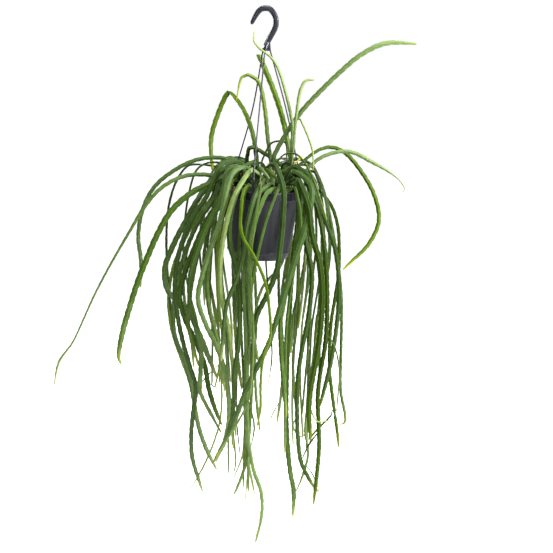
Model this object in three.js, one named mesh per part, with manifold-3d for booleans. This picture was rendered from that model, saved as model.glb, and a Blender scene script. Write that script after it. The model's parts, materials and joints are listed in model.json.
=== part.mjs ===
// A hanging pot of Lepismium bolivianum, a cactus with long flat stems that rise from the crown,
// arch over the rim and trail far below the pot. Some fifty cuttings stand in the soil of a small
// plastic pot, which hangs by a moulded hook with three thin legs.
// Millimetres, +Z up, +X to the viewer's right, -Y towards the viewer. The origin is on the flat
// under the hook's crown, where the hook rests on what holds it up.
import * as THREE from "three";
import { mergeVertices } from "three/addons/utils/BufferGeometryUtils.js";
import Module from "manifold-3d";

const wasm = await Module();
wasm.setup();

// The pot. Heights are measured down from the top of its rim.
const RIM_RADIUS = 75;
const RIM_BAND = 16;
const BODY_TOP_RADIUS = 73.4;
const FOOT_RADIUS = 61.4;
const FOOT_DROP = 118;
const BASE_RADIUS = 56;
const POT_HEIGHT = 132;
const POT_WALL = 1.6;
const FLOOR_RAISE = 2.2;
const POT_SIDES = 30;
const DRAIN_HOLES = 6;
const DRAIN_HOLE_RADIUS = 3.5;
const DRAIN_CIRCLE_RADIUS = 36;

// The pot's rim is centred here, and the pot hangs a little out of true, low on the right.
const POT_PLACE = new THREE.Vector3(-9, 0, -330);
const POT_LEAN = THREE.MathUtils.degToRad(3);

// The soil, its unevenness and the room round it and round each cutting
const SOIL_DROP = 14;
const SOIL_MOUND = 4;
const SOIL_LUMPS = 2.4;
const CLEARANCE = 0.3;

// The hanger: a hook, three legs, and a strap on each leg that clips over a lug on the rim.
// Bearings turn from the viewer's side of the pot towards the right. A leg's bow is outwards.
const HOOK_THICKNESS = 10.4;
const HOOK_DEPTH = 9;
const HUB_DROP = 70;
const HUB_REACH = 9.4;
const LEG_RADIUS = 1.35;
const LEGS = [
  { bearing: THREE.MathUtils.degToRad(-11), bow: 0 },
  { bearing: THREE.MathUtils.degToRad(106), bow: 4 },
  { bearing: THREE.MathUtils.degToRad(-136), bow: -9 },
];
const LUG_STAND_OFF = 3;
const GROOVE_DEPTH = 1.3;
const STRAP_WIDTH = 7;
const STRAP_THICKNESS = 1.5;
const STRAP_RISE = 19;
const STRAP_DROP = 17.6;

// The cuttings stand in the soil on a sunflower's spiral.
const CUTTINGS = 46;
const CUTTING_CIRCLE_RADIUS = 58;
const CUTTING_WIDTH = 10.4;
const CUTTING_THICKNESS = 2.6;
const CUTTING_DEPTH = 30;
const CUT_SLANT = 2.4;
const STEMS_A_CUTTING = 3;

// A stem is a ribbon with a rib along each face and edges notched by turns left and right.
const RIB_THICKNESS = 2.3;
const NOTCH = 0.1;
const LONGEST_STEP = 50;
const SHORTEST_STEP = 12;
const SHARPEST_TURN = THREE.MathUtils.degToRad(35);
const STEM_GAP = 1.3;

// Stems that no view singles out, short leaves in the crown, and the seed of all chance values
const PLAIN_STEMS = 24;
const CROWN_LEAVES = 8;
const SEED = 20;

// Rounds of bending stems clear of each other: first evened out strongly, then hardly at all
const MOST_CALM_ROUNDS = 110;
const MOST_ROUNDS = 400;

// The viewer's eye. A traced stem keeps its place as seen from here when its depth is set.
const EYE = new THREE.Vector3(20, -1700, -160);

// Cut tops of cuttings that show in the crown. Like the points of the traced stems below, each is
// [to the right, up, away] in millimetres: the first two are where it shows on the upright plane
// through the hook, seen from the eye, and the third is how far behind that plane it is.
const SHOWN_CUT_TOPS = [
  [-8, -325, -60], [12, -297, -38], [7, -284, -12], [69, -297, -4], [78, -309, -36], [-71, -326, -16],
];

// Traced stems. A path starts in the crown, or with arch just outside the rim. An open stem shows its
// full width, and a profile gives shares of the width at even steps along the stem.
// Stems that rise from the crown between the hanger's legs, and the short arches in the crown.
const RISING = [
  { width: 9.5, tone: "green", open: true, path: [
      [19, -305, -5], [11, -275, -10], [36, -225, -14], [65, -184, -20], [139, -110, -32],
      [177, -79, -34], [214, -61, -34], [242, -55, -32], [283, -59, -28]
  ] },
  { width: 11, tone: "green", blunt: true, open: true, path: [
      [50, -298, 5], [27, -180, 22], [-12, -80, 34]
  ] },
  { width: 6.5, tone: "young", taper: 0.5, open: true, path: [
      [48, -290, -10], [49, -208, -22], [42, -153, -32], [11, -84, -44], [-15, -64, -46],
      [-22, -54, -44], [-21, -34, -40]
  ] },
  { width: 8.5, tone: "green", taper: 0.3, open: true, profile: [1, 1, 1, 1, 0.9, 0.45], path: [
      [11, -298, 5], [2, -218, 5], [-9, -135, 12], [-30, -116, 18], [-39, -117, 20], [-46, -123, 20],
      [-55, -163, 20]
  ] },
  { width: 10, tone: "green", open: true, path: [
      [-16, -294, 12], [-27, -218, 20], [-53, -160, 30], [-66, -150, 34], [-73, -151, 36],
      [-83, -169, 38], [-102, -225, 42], [-106, -249, 42], [-101, -298, 38]
  ] },
  { width: 4, tone: "pale", path: [
      [53, -256, -26], [53, -224, -28], [58, -201, -30], [63, -197, -34], [89, -256, -42],
      [93, -273, -42], [90, -296, -40]
  ] },
  { width: 8.5, tone: "dark", path: [
      [34, -302, 15], [27, -286, 15], [-4, -264, 12], [-30, -254, 14], [-37, -259, 18], [-41, -280, 32],
      [-54, -321, 62], [-68, -352, 80], [-80, -387, 86], [-88, -422, 86], [-93, -454, 84]
  ] },
  { width: 4, tone: "dark", path: [
      [-8, -275, -4], [4, -250, -5], [11, -243, -6], [32, -239, -6], [39, -246, -5], [38, -282, -2]
  ] },
  { width: 4, tone: "dark", path: [
      [19, -290, -16], [21, -279, -20], [38, -263, -30], [61, -266, -38], [71, -275, -42],
      [86, -300, -50], [118, -391, -62]
  ] },
];

// Long stems that arch out to the left and to the right and hang clear of the rest.
const REACHING = [
  { width: 8.5, tone: "green", open: true, path: [
      [-31, -296, 20], [-48, -283, 20], [-80, -272, 18], [-134, -275, 10], [-166, -288, 5],
      [-222, -334, -5], [-245, -387, -12], [-250, -422, -14], [-252, -444, -14], [-242, -500, -10],
      [-249, -526, -8]
  ] },
  { width: 8.5, tone: "green", open: true, profile: [1, 1, 0.9, 0.6, 0.5, 0.5, 0.8], path: [
      [-58, -317, -10], [-102, -305, -24], [-141, -303, -28], [-182, -315, -32], [-221, -346, -36],
      [-272, -422, -42], [-333, -526, -46], [-394, -647, -46], [-414, -670, -46], [-430, -729, -42]
  ] },
  { width: 12, tone: "green", open: true, path: [
      [-41, -300, -20], [-54, -296, -24], [-74, -302, -30], [-122, -330, -44], [-140, -336, -48],
      [-187, -377, -58], [-232, -462, -66], [-261, -534, -70], [-297, -664, -68], [-291, -685, -66]
  ] },
  { width: 6, tone: "dark", path: [
      [-58, -303, 28], [-73, -294, 32], [-121, -285, 44], [-141, -284, 46], [-156, -290, 48],
      [-166, -300, 50], [-188, -356, 54], [-196, -440, 52], [-188, -587, 42], [-179, -635, 38],
      [-160, -687, 34], [-149, -739, 30]
  ] },
  { width: 9, tone: "green", open: true, profile: [0.65, 0.75, 1, 1, 1, 0.85], path: [
      [48, -305, 8], [92, -261, 12], [111, -252, 14], [128, -251, 16], [148, -259, 16], [170, -279, 16],
      [203, -330, 14], [218, -369, 12], [217, -407, 10], [205, -432, 8], [150, -490, 2]
  ] },
  { width: 8, tone: "pale", open: true, profile: [0.7, 0.85, 1, 1, 1, 1, 0.4, 0.3], path: [
      [59, -313, -15], [94, -279, -24], [116, -265, -26], [160, -259, -30], [219, -288, -30],
      [259, -315, -30], [267, -330, -30], [262, -338, -30]
  ] },
];

// The curtain that hangs on the left.
const LEFT_CURTAIN = [
  { width: 12, tone: "dark", path: [
      [-54, -280, -5], [-85, -294, -15], [-118, -329, -26], [-144, -371, -34], [-181, -438, -38],
      [-197, -476, -38], [-201, -498, -38], [-198, -522, -38], [-191, -538, -38], [-160, -567, -40],
      [-116, -670, -46], [-110, -695, -46], [-110, -720, -44]
  ] },
  { width: 10, tone: "dark", arch: true, path: [
      [-103, -325, -40], [-133, -369, -47], [-167, -442, -50], [-181, -530, -49], [-164, -653, -45],
      [-147, -712, -41], [-143, -742, -40], [-152, -801, -38], [-154, -877, -35], [-133, -959, -32]
  ] },
  { width: 10, tone: "green", arch: true, path: [
      [-87, -329, 28], [-123, -379, 30], [-164, -470, 26], [-187, -604, 21], [-181, -633, 20],
      [-160, -691, 18], [-133, -840, 12], [-103, -910, 9]
  ] },
  { width: 10.5, tone: "dark", arch: true, path: [
      [-86, -340, -62], [-117, -391, -68], [-150, -466, -69], [-169, -520, -67], [-173, -551, -66],
      [-166, -581, -65], [-128, -674, -61], [-113, -756, -56], [-91, -814, -52]
  ] },
  { width: 11, tone: "green", arch: true, path: [
      [-80, -352, -78], [-112, -407, -83], [-134, -458, -84], [-149, -512, -82], [-151, -540, -81],
      [-130, -664, -74], [-130, -695, -72], [-137, -718, -71], [-135, -739, -70], [-93, -829, -63]
  ] },
  { width: 10, tone: "pale", arch: true, path: [
      [-86, -375, -92], [-127, -500, -94], [-136, -548, -92], [-132, -573, -90], [-94, -662, -82],
      [-86, -689, -80], [-78, -750, -76], [-79, -814, -72], [-86, -845, -70], [-105, -893, -67]
  ] },
  { width: 9.5, tone: "green", arch: true, path: [
      [-92, -361, -12], [-115, -510, -15], [-116, -542, -15], [-92, -664, -15], [-84, -742, -15]
  ] },
  { width: 6.5, tone: "young", arch: true, path: [
      [-78, -358, -80], [-90, -387, -80], [-95, -414, -78], [-98, -530, -64], [-89, -645, -56],
      [-105, -731, -52]
  ] },
  { width: 7, tone: "green", arch: true, path: [
      [-98, -371, 6], [-118, -430, 2], [-122, -460, 0], [-123, -563, -6]
  ] },
  { width: 8.5, tone: "green", arch: true, path: [
      [-103, -344, 62], [-119, -361, 66], [-155, -420, 70], [-182, -480, 70], [-190, -510, 69],
      [-192, -595, 66], [-151, -737, 56], [-148, -763, 54], [-153, -823, 50]
  ] },
  { width: 4.5, tone: "pale", arch: true, path: [
      [-93, -352, 50], [-102, -375, 50], [-102, -407, 48], [-95, -633, 36], [-96, -806, 27],
      [-149, -939, 16], [-159, -954, 15]
  ] },
  { width: 6.5, tone: "green", arch: true, path: [
      [-105, -346, 42], [-121, -367, 45], [-147, -422, 48], [-162, -486, 48], [-163, -551, 46],
      [-153, -612, 44], [-146, -693, 38]
  ] },
  { width: 6.5, tone: "dark", path: [
      [-37, -302, -42], [-45, -305, -50], [-58, -325, -62], [-72, -344, -70], [-84, -365, -72],
      [-94, -418, -64], [-93, -502, -50]
  ] },
  { width: 9, tone: "green", path: [
      [-16, -284, -30], [-23, -280, -36], [-43, -288, -48], [-72, -321, -63], [-92, -361, -71],
      [-132, -452, -75], [-155, -575, -71], [-155, -604, -70], [-136, -687, -66]
  ] },
  { width: 5, tone: "green", arch: true, path: [
      [-86, -344, 40], [-98, -375, 44], [-104, -420, 44], [-112, -530, 40], [-109, -591, 38],
      [-82, -720, 32], [-79, -919, 26]
  ] },
];

// Stems that hang in front of the pot.
const FRONT_CURTAIN = [
  { width: 9.5, tone: "pale", path: [
      [3, -325, -40], [-8, -303, -56], [-18, -299, -64], [-29, -305, -74], [-55, -354, -98],
      [-75, -414, -105], [-87, -490, -103], [-89, -534, -99], [-75, -600, -93], [-64, -729, -83]
  ] },
  { width: 6.5, tone: "green", path: [
      [-20, -321, -58], [-31, -327, -76], [-37, -340, -86], [-45, -381, -92], [-62, -624, -85]
  ] },
  { width: 10, tone: "dark", path: [
      [-31, -305, -54], [-43, -309, -66], [-54, -329, -80], [-64, -352, -88], [-70, -379, -91],
      [-71, -434, -93], [-54, -512, -95], [-54, -624, -93], [-68, -733, -89], [-65, -761, -88],
      [-69, -789, -87], [-75, -816, -86], [-96, -869, -84]
  ] },
  { width: 8.5, tone: "green", path: [
      [-4, -317, -52], [-14, -329, -72], [-22, -346, -86], [-34, -383, -96], [-54, -494, -100],
      [-78, -555, -97], [-92, -678, -90]
  ] },
  { width: 9, tone: "pale", path: [
      [11, -325, -50], [-4, -332, -72], [-16, -346, -86], [-22, -365, -93], [-38, -454, -100],
      [-46, -510, -99], [-41, -622, -94], [-43, -685, -90], [-33, -886, -76], [-9, -981, -72],
      [-24, -1074, -70]
  ] },
  { width: 9.5, tone: "green", path: [
      [31, -329, -46], [25, -330, -66], [11, -336, -82], [0, -350, -92], [-22, -407, -105],
      [-30, -454, -106], [-32, -506, -103], [-29, -620, -95], [-13, -687, -92]
  ] },
  { width: 7, tone: "pale", path: [
      [34, -325, -48], [25, -338, -82], [15, -356, -90], [-4, -414, -98], [-15, -458, -98],
      [-29, -530, -94], [-26, -616, -88], [-41, -879, -70], [-54, -932, -67], [-70, -966, -66]
  ] },
  { width: 6.5, tone: "young", path: [
      [-27, -332, -60], [-37, -338, -84], [-43, -358, -100], [-45, -381, -106], [-42, -436, -112],
      [-13, -480, -118], [1, -524, -120], [9, -608, -118], [7, -633, -117], [-11, -693, -114],
      [-11, -767, -108], [-20, -816, -104]
  ] },
  { width: 11, tone: "dark", path: [
      [11, -286, -40], [17, -284, -46], [27, -300, -62], [32, -321, -78], [36, -344, -86],
      [35, -367, -90], [21, -490, -91], [7, -532, -89], [-13, -559, -86], [-19, -579, -84],
      [-31, -687, -78]
  ] },
  { width: 6.5, tone: "pale", path: [
      [21, -329, 40], [25, -313, 60], [29, -325, 80], [32, -352, 92], [35, -381, 94], [35, -466, 93],
      [27, -484, 92], [3, -506, 90], [-15, -548, 88], [-21, -571, 86], [-24, -653, 80]
  ] },
  { width: 4.5, tone: "pale", arch: true, path: [
      [-20, -352, -84], [-27, -381, -98], [-35, -474, -112], [-29, -643, -117], [-34, -737, -118],
      [-41, -769, -116], [-52, -793, -114], [-106, -882, -106]
  ] },
];

// The bunch that hangs behind the pot and meets below it.
const REAR_BUNCH = [
  { width: 6, tone: "green", arch: true, path: [
      [-45, -352, 88], [-46, -460, 96], [-48, -520, 94], [-51, -571, 90], [-44, -812, 66],
      [-49, -957, 52]
  ] },
  { width: 7, tone: "dark", arch: true, path: [
      [-33, -352, 86], [-36, -470, 94], [-38, -530, 90], [-39, -961, 46]
  ] },
  { width: 7, tone: "green", arch: true, path: [
      [-24, -352, 84], [-28, -474, 92], [-40, -866, 56], [-25, -963, 48]
  ] },
  { width: 3.5, tone: "pale", arch: true, path: [
      [-37, -352, 98], [-36, -430, 104], [-33, -591, 96], [-35, -845, 72], [-46, -990, 60]
  ] },
  { width: 4.5, tone: "young", arch: true, path: [
      [-51, -361, 84], [-49, -420, 92], [-46, -490, 92], [-41, -737, 70], [-47, -866, 56],
      [-53, -899, 52], [-69, -932, 48]
  ] },
  { width: 4.5, tone: "green", arch: true, path: [
      [-51, -361, 70], [-57, -420, 80], [-60, -486, 82], [-56, -540, 80], [-57, -664, 70],
      [-70, -797, 54], [-64, -888, 44], [-69, -921, 42]
  ] },
  { width: 3.5, tone: "green", arch: true, path: [
      [-39, -371, 100], [-46, -450, 104], [-50, -530, 98], [-61, -801, 66], [-54, -884, 56]
  ] },
  { width: 4, tone: "dark", arch: true, path: [
      [-8, -361, 84], [-1, -474, 90], [10, -691, 70], [3, -725, 68]
  ] },
];

// The curtain that hangs on the right.
const RIGHT_CURTAIN = [
  { width: 11.5, tone: "green", path: [
      [34, -309, -30], [46, -302, -38], [59, -309, -48], [73, -321, -56], [81, -336, -62],
      [79, -377, -73], [52, -474, -97], [29, -551, -106], [-1, -651, -107], [-34, -716, -102],
      [-75, -825, -94], [-113, -899, -90]
  ] },
  { width: 9, tone: "pale", path: [
      [42, -313, -42], [54, -300, -48], [67, -313, -58], [75, -332, -66], [78, -356, -71],
      [60, -456, -81], [31, -577, -84], [29, -633, -82], [41, -795, -74]
  ] },
  { width: 10, tone: "dark", path: [
      [29, -290, -14], [48, -280, -20], [75, -300, -30], [96, -354, -38], [130, -436, -37],
      [142, -512, -34], [140, -595, -31], [129, -678, -28], [107, -776, -24]
  ] },
  { width: 10, tone: "green", path: [
      [38, -298, -34], [46, -290, -40], [57, -298, -48], [85, -350, -61], [99, -391, -63],
      [114, -488, -64], [117, -628, -59], [103, -739, -55], [107, -858, -51], [97, -988, -46]
  ] },
  { width: 7, tone: "pale", path: [
      [56, -313, 20], [71, -298, 24], [86, -296, 28], [100, -305, 32], [108, -321, 34], [134, -436, 38],
      [148, -540, 35], [151, -750, 28], [160, -793, 26], [159, -806, 25], [153, -812, 25],
      [144, -810, 25]
  ] },
  { width: 8, tone: "dark", path: [
      [65, -325, 44], [81, -325, 50], [120, -354, 60], [136, -387, 62], [143, -486, 61],
      [128, -608, 56], [128, -714, 52], [141, -786, 49], [147, -862, 46]
  ] },
  { width: 12, tone: "green", path: [
      [50, -321, -52], [58, -311, -58], [79, -348, -75], [89, -416, -84], [107, -488, -86],
      [110, -565, -83], [104, -645, -80], [87, -752, -75], [86, -804, -73], [90, -823, -72],
      [85, -845, -71]
  ] },
  { width: 10, tone: "green", path: [
      [52, -332, -30], [61, -327, -40], [67, -348, -46], [74, -420, -52], [89, -488, -53],
      [86, -563, -50], [63, -714, -44], [68, -879, -38], [81, -921, -36], [108, -959, -33]
  ] },
  { width: 11.5, tone: "dark", path: [
      [52, -327, -42], [61, -325, -54], [67, -342, -62], [67, -365, -66], [52, -496, -70],
      [40, -786, -60], [47, -904, -56], [58, -983, -53], [54, -1015, -52]
  ] },
  { width: 7.5, tone: "green", path: [
      [50, -325, 46], [61, -323, 58], [69, -340, 66], [69, -365, 70], [64, -444, 72], [63, -575, 68],
      [53, -683, 64], [65, -819, 59]
  ] },
  { width: 5, tone: "green", path: [
      [54, -336, 4], [65, -332, 8], [73, -352, 12], [77, -379, 14], [74, -480, 16], [63, -612, 11]
  ] },
  { width: 6.5, tone: "green", path: [
      [46, -340, -50], [56, -332, -62], [65, -356, -74], [69, -385, -79], [68, -414, -82],
      [53, -506, -84], [40, -604, -78], [37, -877, -63]
  ] },
  { width: 5, tone: "pale", arch: true, path: [
      [65, -344, -6], [78, -430, -14], [86, -551, -12], [71, -797, -2]
  ] },
  { width: 6, tone: "green", arch: true, path: [
      [73, -344, -30], [102, -490, -36], [104, -551, -34], [80, -801, -24], [79, -838, -22],
      [85, -871, -20], [82, -897, -18], [61, -957, -14]
  ] },
];

// Side shoots, each from the stem that it starts on. Their third value counts from that stem.
const SHOOTS = [
  { width: 6.5, tone: "young", open: true, path: [
      [47, -169, 0], [61, -151, -4], [76, -136, -6], [92, -124, -6]
  ] },
  { width: 3.5, tone: "young", path: [
      [50, -286, 0], [57, -278, -4], [71, -266, -6]
  ] },
  { width: 4, tone: "green", path: [
      [-34, -767, 0], [-25, -823, -6], [-26, -840, -6], [-33, -860, -6]
  ] },
  { width: 4, tone: "young", path: [
      [-48, -784, 0], [-45, -810, -5], [-32, -853, -8]
  ] },
  { width: 3.5, tone: "pale", path: [
      [119, -612, 0], [139, -660, 6], [145, -687, 6], [145, -727, 4], [141, -784, 0]
  ] },
  { width: 4, tone: "young", path: [
      [89, -750, 0], [89, -776, -4], [94, -793, -6], [105, -805, -8], [117, -806, -8], [129, -802, -8]
  ] },
  { width: 4.5, tone: "green", path: [
      [135, -767, 0], [133, -784, -4], [124, -804, -8], [99, -827, -10], [90, -840, -10],
      [87, -853, -10]
  ] },
  { width: 3, tone: "young", path: [
      [66, -767, 0], [55, -801, 6], [55, -819, 8], [62, -833, 8], [71, -837, 6], [78, -832, 4],
      [79, -819, 2]
  ] },
  { width: 3.5, tone: "pale", path: [
      [82, -862, 0], [95, -921, 6], [102, -946, 6], [111, -963, 6]
  ] },
  { width: 4.5, tone: "dark", path: [
      [96, -810, 0], [91, -840, -6], [83, -866, -8], [72, -886, -8]
  ] },
  { width: 3, tone: "young", path: [
      [35, -746, 0], [23, -765, -5], [14, -784, -8], [10, -801, -8]
  ] },
  { width: 3.5, tone: "young", path: [
      [-92, -664, 0], [-104, -687, -6], [-131, -723, -12]
  ] },
  { width: 3, tone: "green", path: [
      [-121, -720, 0], [-111, -727, -5], [-96, -735, -8]
  ] },
  { width: 3, tone: "pale", path: [
      [-127, -699, 0], [-154, -729, -10], [-159, -742, -10]
  ] },
];
const UP = new THREE.Vector3(0, 0, 1);
const random = seededRandom(SEED);
const potFrame = new THREE.Matrix4().makeRotationY(POT_LEAN).setPosition(POT_PLACE);
const potFrameInverse = potFrame.clone().invert();

// A repeatable source of numbers from 0 to 1
function seededRandom(seed) {
  let state = seed;
  return () => {
    state = (state + 0x6d2b79f5) | 0;
    let mixed = Math.imul(state ^ (state >>> 15), 1 | state);
    mixed = (mixed + Math.imul(mixed ^ (mixed >>> 7), 61 | mixed)) ^ mixed;
    return ((mixed ^ (mixed >>> 14)) >>> 0) / 4294967296;
  };
}

function between(low, high) {
  return low + (high - low) * random();
}

function mix(a, b, share) {
  return a + (b - a) * share;
}

// A closed skin through rings of points, ended by a point at each end. The rings turn anticlockwise
// about the way they follow each other. Diagonals start on even corners, alike on both faces.
function loft(rings, startPoint, endPoint) {
  const corners = rings[0].length;
  const points = rings.flat();
  const first = points.push(startPoint) - 1;
  const last = points.push(endPoint) - 1;
  const end = rings.length - 1;
  const at = (ring, corner) => ring * corners + (corner % corners);
  const index = [];
  for (let corner = 0; corner < corners; corner++) {
    index.push(first, at(0, corner + 1), at(0, corner));
    index.push(last, at(end, corner), at(end, corner + 1));
    for (let ring = 0; ring < end; ring++) {
      const a = at(ring, corner);
      const b = at(ring, corner + 1);
      const c = at(ring + 1, corner + 1);
      const d = at(ring + 1, corner);
      index.push(...(corner % 2 === 0 ? [a, b, c, a, c, d] : [a, b, d, b, c, d]));
    }
  }
  const geometry = new THREE.BufferGeometry().setFromPoints(points);
  geometry.setIndex(index);
  return geometry;
}

// A geometry as a solid: its shared vertices are merged and triangles without area are dropped.
function solid(geometry) {
  geometry.deleteAttribute("normal");
  geometry.deleteAttribute("uv");
  const merged = mergeVertices(geometry, 1e-4);
  const corners = Array.from(merged.index.array);
  const kept = [];
  for (let i = 0; i < corners.length; i += 3) {
    const [a, b, c] = corners.slice(i, i + 3);
    if (a !== b && b !== c && c !== a) kept.push(a, b, c);
  }
  return new wasm.Manifold(new wasm.Mesh({
    numProp: 3,
    vertProperties: Float32Array.from(merged.attributes.position.array),
    triVerts: Uint32Array.from(kept),
  }));
}

function geometryOf(body) {
  const mesh = body.getMesh();
  const geometry = new THREE.BufferGeometry();
  geometry.setAttribute("position", new THREE.BufferAttribute(mesh.vertProperties, 3));
  geometry.setIndex(new THREE.BufferAttribute(mesh.triVerts, 1));
  geometry.computeVertexNormals();
  return geometry;
}

function joined(bodies) {
  return bodies.reduce((whole, body) => whole.add(body));
}

// A body's largest piece, without the small pockets that crossing stems can close in
function withoutPockets(body) {
  return body.decompose().reduce((largest, piece) =>
    (piece.volume() > largest.volume() ? piece : largest));
}

function part(name, geometry, material) {
  const mesh = new THREE.Mesh(geometry, material);
  mesh.name = name;
  return mesh;
}

// A ring of corners about a point, given as shares of its two half sizes
function ringOf(centre, across, halfAcross, deep, halfDeep, shape) {
  return shape.map(([a, d]) => centre.clone()
    .addScaledVector(across, a * halfAcross)
    .addScaledVector(deep, d * halfDeep));
}

const RHOMBUS = [[1, 0], [0, 1], [-1, 0], [0, -1]];
const HEXAGON = Array.from({ length: 6 }, (_, i) =>
  [Math.cos((i * Math.PI) / 3), Math.sin((i * Math.PI) / 3)]);

function tangents(points) {
  return points.map((_, i) => {
    const before = points[Math.max(i - 1, 0)];
    const after = points[Math.min(i + 1, points.length - 1)];
    return after.clone().sub(before).normalize();
  });
}

function outwards(bearing) {
  return new THREE.Vector3(Math.sin(bearing), -Math.cos(bearing), 0);
}

function sideways(bearing) {
  return new THREE.Vector3(Math.cos(bearing), Math.sin(bearing), 0);
}

// The pot's inside radius at a depth below the rim
function insideRadius(drop) {
  const share = drop / (POT_HEIGHT - FLOOR_RAISE - POT_WALL);
  return mix(BODY_TOP_RADIUS - POT_WALL, BASE_RADIUS, share);
}

// The pot's outside radius at a depth below the rim
function outsideRadius(drop) {
  if (drop < RIM_BAND) return RIM_RADIUS;
  if (drop > FOOT_DROP) return FOOT_RADIUS;
  return mix(BODY_TOP_RADIUS, FOOT_RADIUS, (drop - RIM_BAND) / (FOOT_DROP - RIM_BAND));
}

// A plate from an outline drawn as seen from outside the pot, standing at a bearing and a radius
function plateOnPot(outline, thickness, bearing, radius) {
  const shape = new THREE.Shape(outline.map(([x, y]) => new THREE.Vector2(x, y)));
  const plate = new THREE.ExtrudeGeometry(shape, { depth: thickness, bevelEnabled: false });
  const place = new THREE.Matrix4().makeBasis(sideways(bearing), UP, outwards(bearing));
  place.setPosition(outwards(bearing).multiplyScalar(radius));
  return solid(plate.applyMatrix4(place));
}

function potBody() {
  const floorTop = POT_HEIGHT - FLOOR_RAISE - POT_WALL;
  const outline = [
    [0, -POT_HEIGHT + FLOOR_RAISE],
    [BASE_RADIUS - 6, -POT_HEIGHT + FLOOR_RAISE],
    [BASE_RADIUS - 5, -POT_HEIGHT],
    [BASE_RADIUS, -POT_HEIGHT],
    [FOOT_RADIUS - 0.8, -FOOT_DROP - 1.4],
    [FOOT_RADIUS + 0.6, -FOOT_DROP - 0.9],
    [FOOT_RADIUS, -FOOT_DROP + 1.2],
    [BODY_TOP_RADIUS, -RIM_BAND],
    [RIM_RADIUS, -RIM_BAND],
    [RIM_RADIUS, -1],
    [RIM_RADIUS - 0.9, 0],
    [insideRadius(0), 0],
    [insideRadius(floorTop), -floorTop],
    [0, -floorTop],
  ];
  const profile = outline.map(([radius, height]) => new THREE.Vector2(radius, height));
  const body = solid(new THREE.LatheGeometry(profile, POT_SIDES).rotateX(Math.PI / 2));
  const lugs = LEGS.map(({ bearing }) => lug(bearing));
  return joined([body, ...lugs]).subtract(joined(drainHoles()));
}

// A shield-shaped lug on the rim, with a groove down its face in which the strap lies
function lug(bearing) {
  const sunk = 1.2;
  const half = STRAP_WIDTH / 2 + CLEARANCE;
  const shield = [[-3.6, -15.2], [3.6, -15.2], [7, -6.5], [8, -0.8], [-8, -0.8], [-7, -6.5]];
  const groove = [[-half, -17], [half, -17], [half, 1], [-half, 1]];
  const face = RIM_RADIUS + LUG_STAND_OFF;
  return plateOnPot(shield, LUG_STAND_OFF + sunk, bearing, RIM_RADIUS - sunk)
    .subtract(plateOnPot(groove, 2 * GROOVE_DEPTH, bearing, face - GROOVE_DEPTH));
}

function drainHoles() {
  return Array.from({ length: DRAIN_HOLES }, (_, i) => {
    const place = outwards((i / DRAIN_HOLES) * 2 * Math.PI).multiplyScalar(DRAIN_CIRCLE_RADIUS);
    const hole = new THREE.CylinderGeometry(DRAIN_HOLE_RADIUS, DRAIN_HOLE_RADIUS, 12, 8);
    hole.rotateX(Math.PI / 2).translate(place.x, place.y, -POT_HEIGHT + FLOOR_RAISE);
    return solid(hole);
  });
}

// A leg's lower end: a strap that lies in the lug's groove and turns in under the lug
function strap(bearing) {
  const half = STRAP_WIDTH / 2;
  const back = RIM_RADIUS + LUG_STAND_OFF - GROOVE_DEPTH + CLEARANCE;
  const face = [
    [-2.4, -STRAP_DROP], [2.4, -STRAP_DROP], [half, -9], [half, 4], [1.2, STRAP_RISE],
    [-1.2, STRAP_RISE], [-half, 4], [-half, -9],
  ];
  const nib = [[-2, -STRAP_DROP + 0.2], [2, -STRAP_DROP + 0.2], [2, -15.5], [-2, -15.5]];
  return joined([
    plateOnPot(face, STRAP_THICKNESS, bearing, back),
    plateOnPot(nib, 2.2, bearing, back - 1.9),
  ]).transform(potFrame.elements);
}

// The hook, along its middle line from its tip over the crown to the hub above the legs. The two
// points at the crown are level, so the facet under them is the flat that the hook rests on.
function hookBody() {
  const crown = HOOK_THICKNESS / 2;
  const line = [
    [-26, -21], [-23.3, -15.7], [-20, -9.6], [-14.4, -1.2], [-9, 3.6], [-4, crown], [4, crown],
    [10, 2], [15.6, -5.5], [18.8, -14.8], [19, -23], [16.2, -32.3], [11.4, -41], [5.6, -51],
    [2, -58], [0, -64],
  ].map(([x, z]) => new THREE.Vector3(x, 0, z));
  const octagon = [[1, -0.6], [1, 0.6], [0.6, 1], [-0.6, 1], [-1, 0.6], [-1, -0.6], [-0.6, -1],
    [0.6, -1]];
  const depth = new THREE.Vector3(0, 1, 0);
  const ways = tangents(line);
  const rings = line.map((point, i) => {
    if (point.z === crown) ways[i].set(1, 0, 0);
    const across = new THREE.Vector3().crossVectors(depth, ways[i]).normalize();
    const half = i === 0 ? 0.35 : 0.5;
    return ringOf(point, across, half * HOOK_THICKNESS, depth, half * HOOK_DEPTH, octagon);
  });
  const tip = line[0].clone().addScaledVector(ways[0], -1.5);
  return solid(loft(rings, tip, line[line.length - 1]));
}

// The hub under the hook, which widens downwards and has a rib out to each leg
function hubBodies() {
  const core = [[-54, 4.4], [-62, 6], [-HUB_DROP, 6.4]].map(([z, radius]) =>
    ringOf(new THREE.Vector3(0, 0, z), sideways(0), radius, outwards(0), radius, HEXAGON));
  const bottom = new THREE.Vector3(0, 0, -HUB_DROP);
  const ribs = LEGS.map(({ bearing }) => {
    const outline = [[0, -48], [0, -HUB_DROP], [HUB_REACH, -HUB_DROP], [HUB_REACH, -HUB_DROP + 6]];
    const shape = new THREE.Shape(outline.map(([x, y]) => new THREE.Vector2(x, y)));
    const rib = new THREE.ExtrudeGeometry(shape, { depth: 2.6, bevelEnabled: false });
    const across = new THREE.Vector3().crossVectors(outwards(bearing), UP);
    rib.translate(0, 0, -1.3);
    return solid(rib.applyMatrix4(new THREE.Matrix4().makeBasis(outwards(bearing), UP, across)));
  });
  return [solid(loft(core, bottom.clone().setZ(-53.9), bottom)), ...ribs];
}

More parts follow.
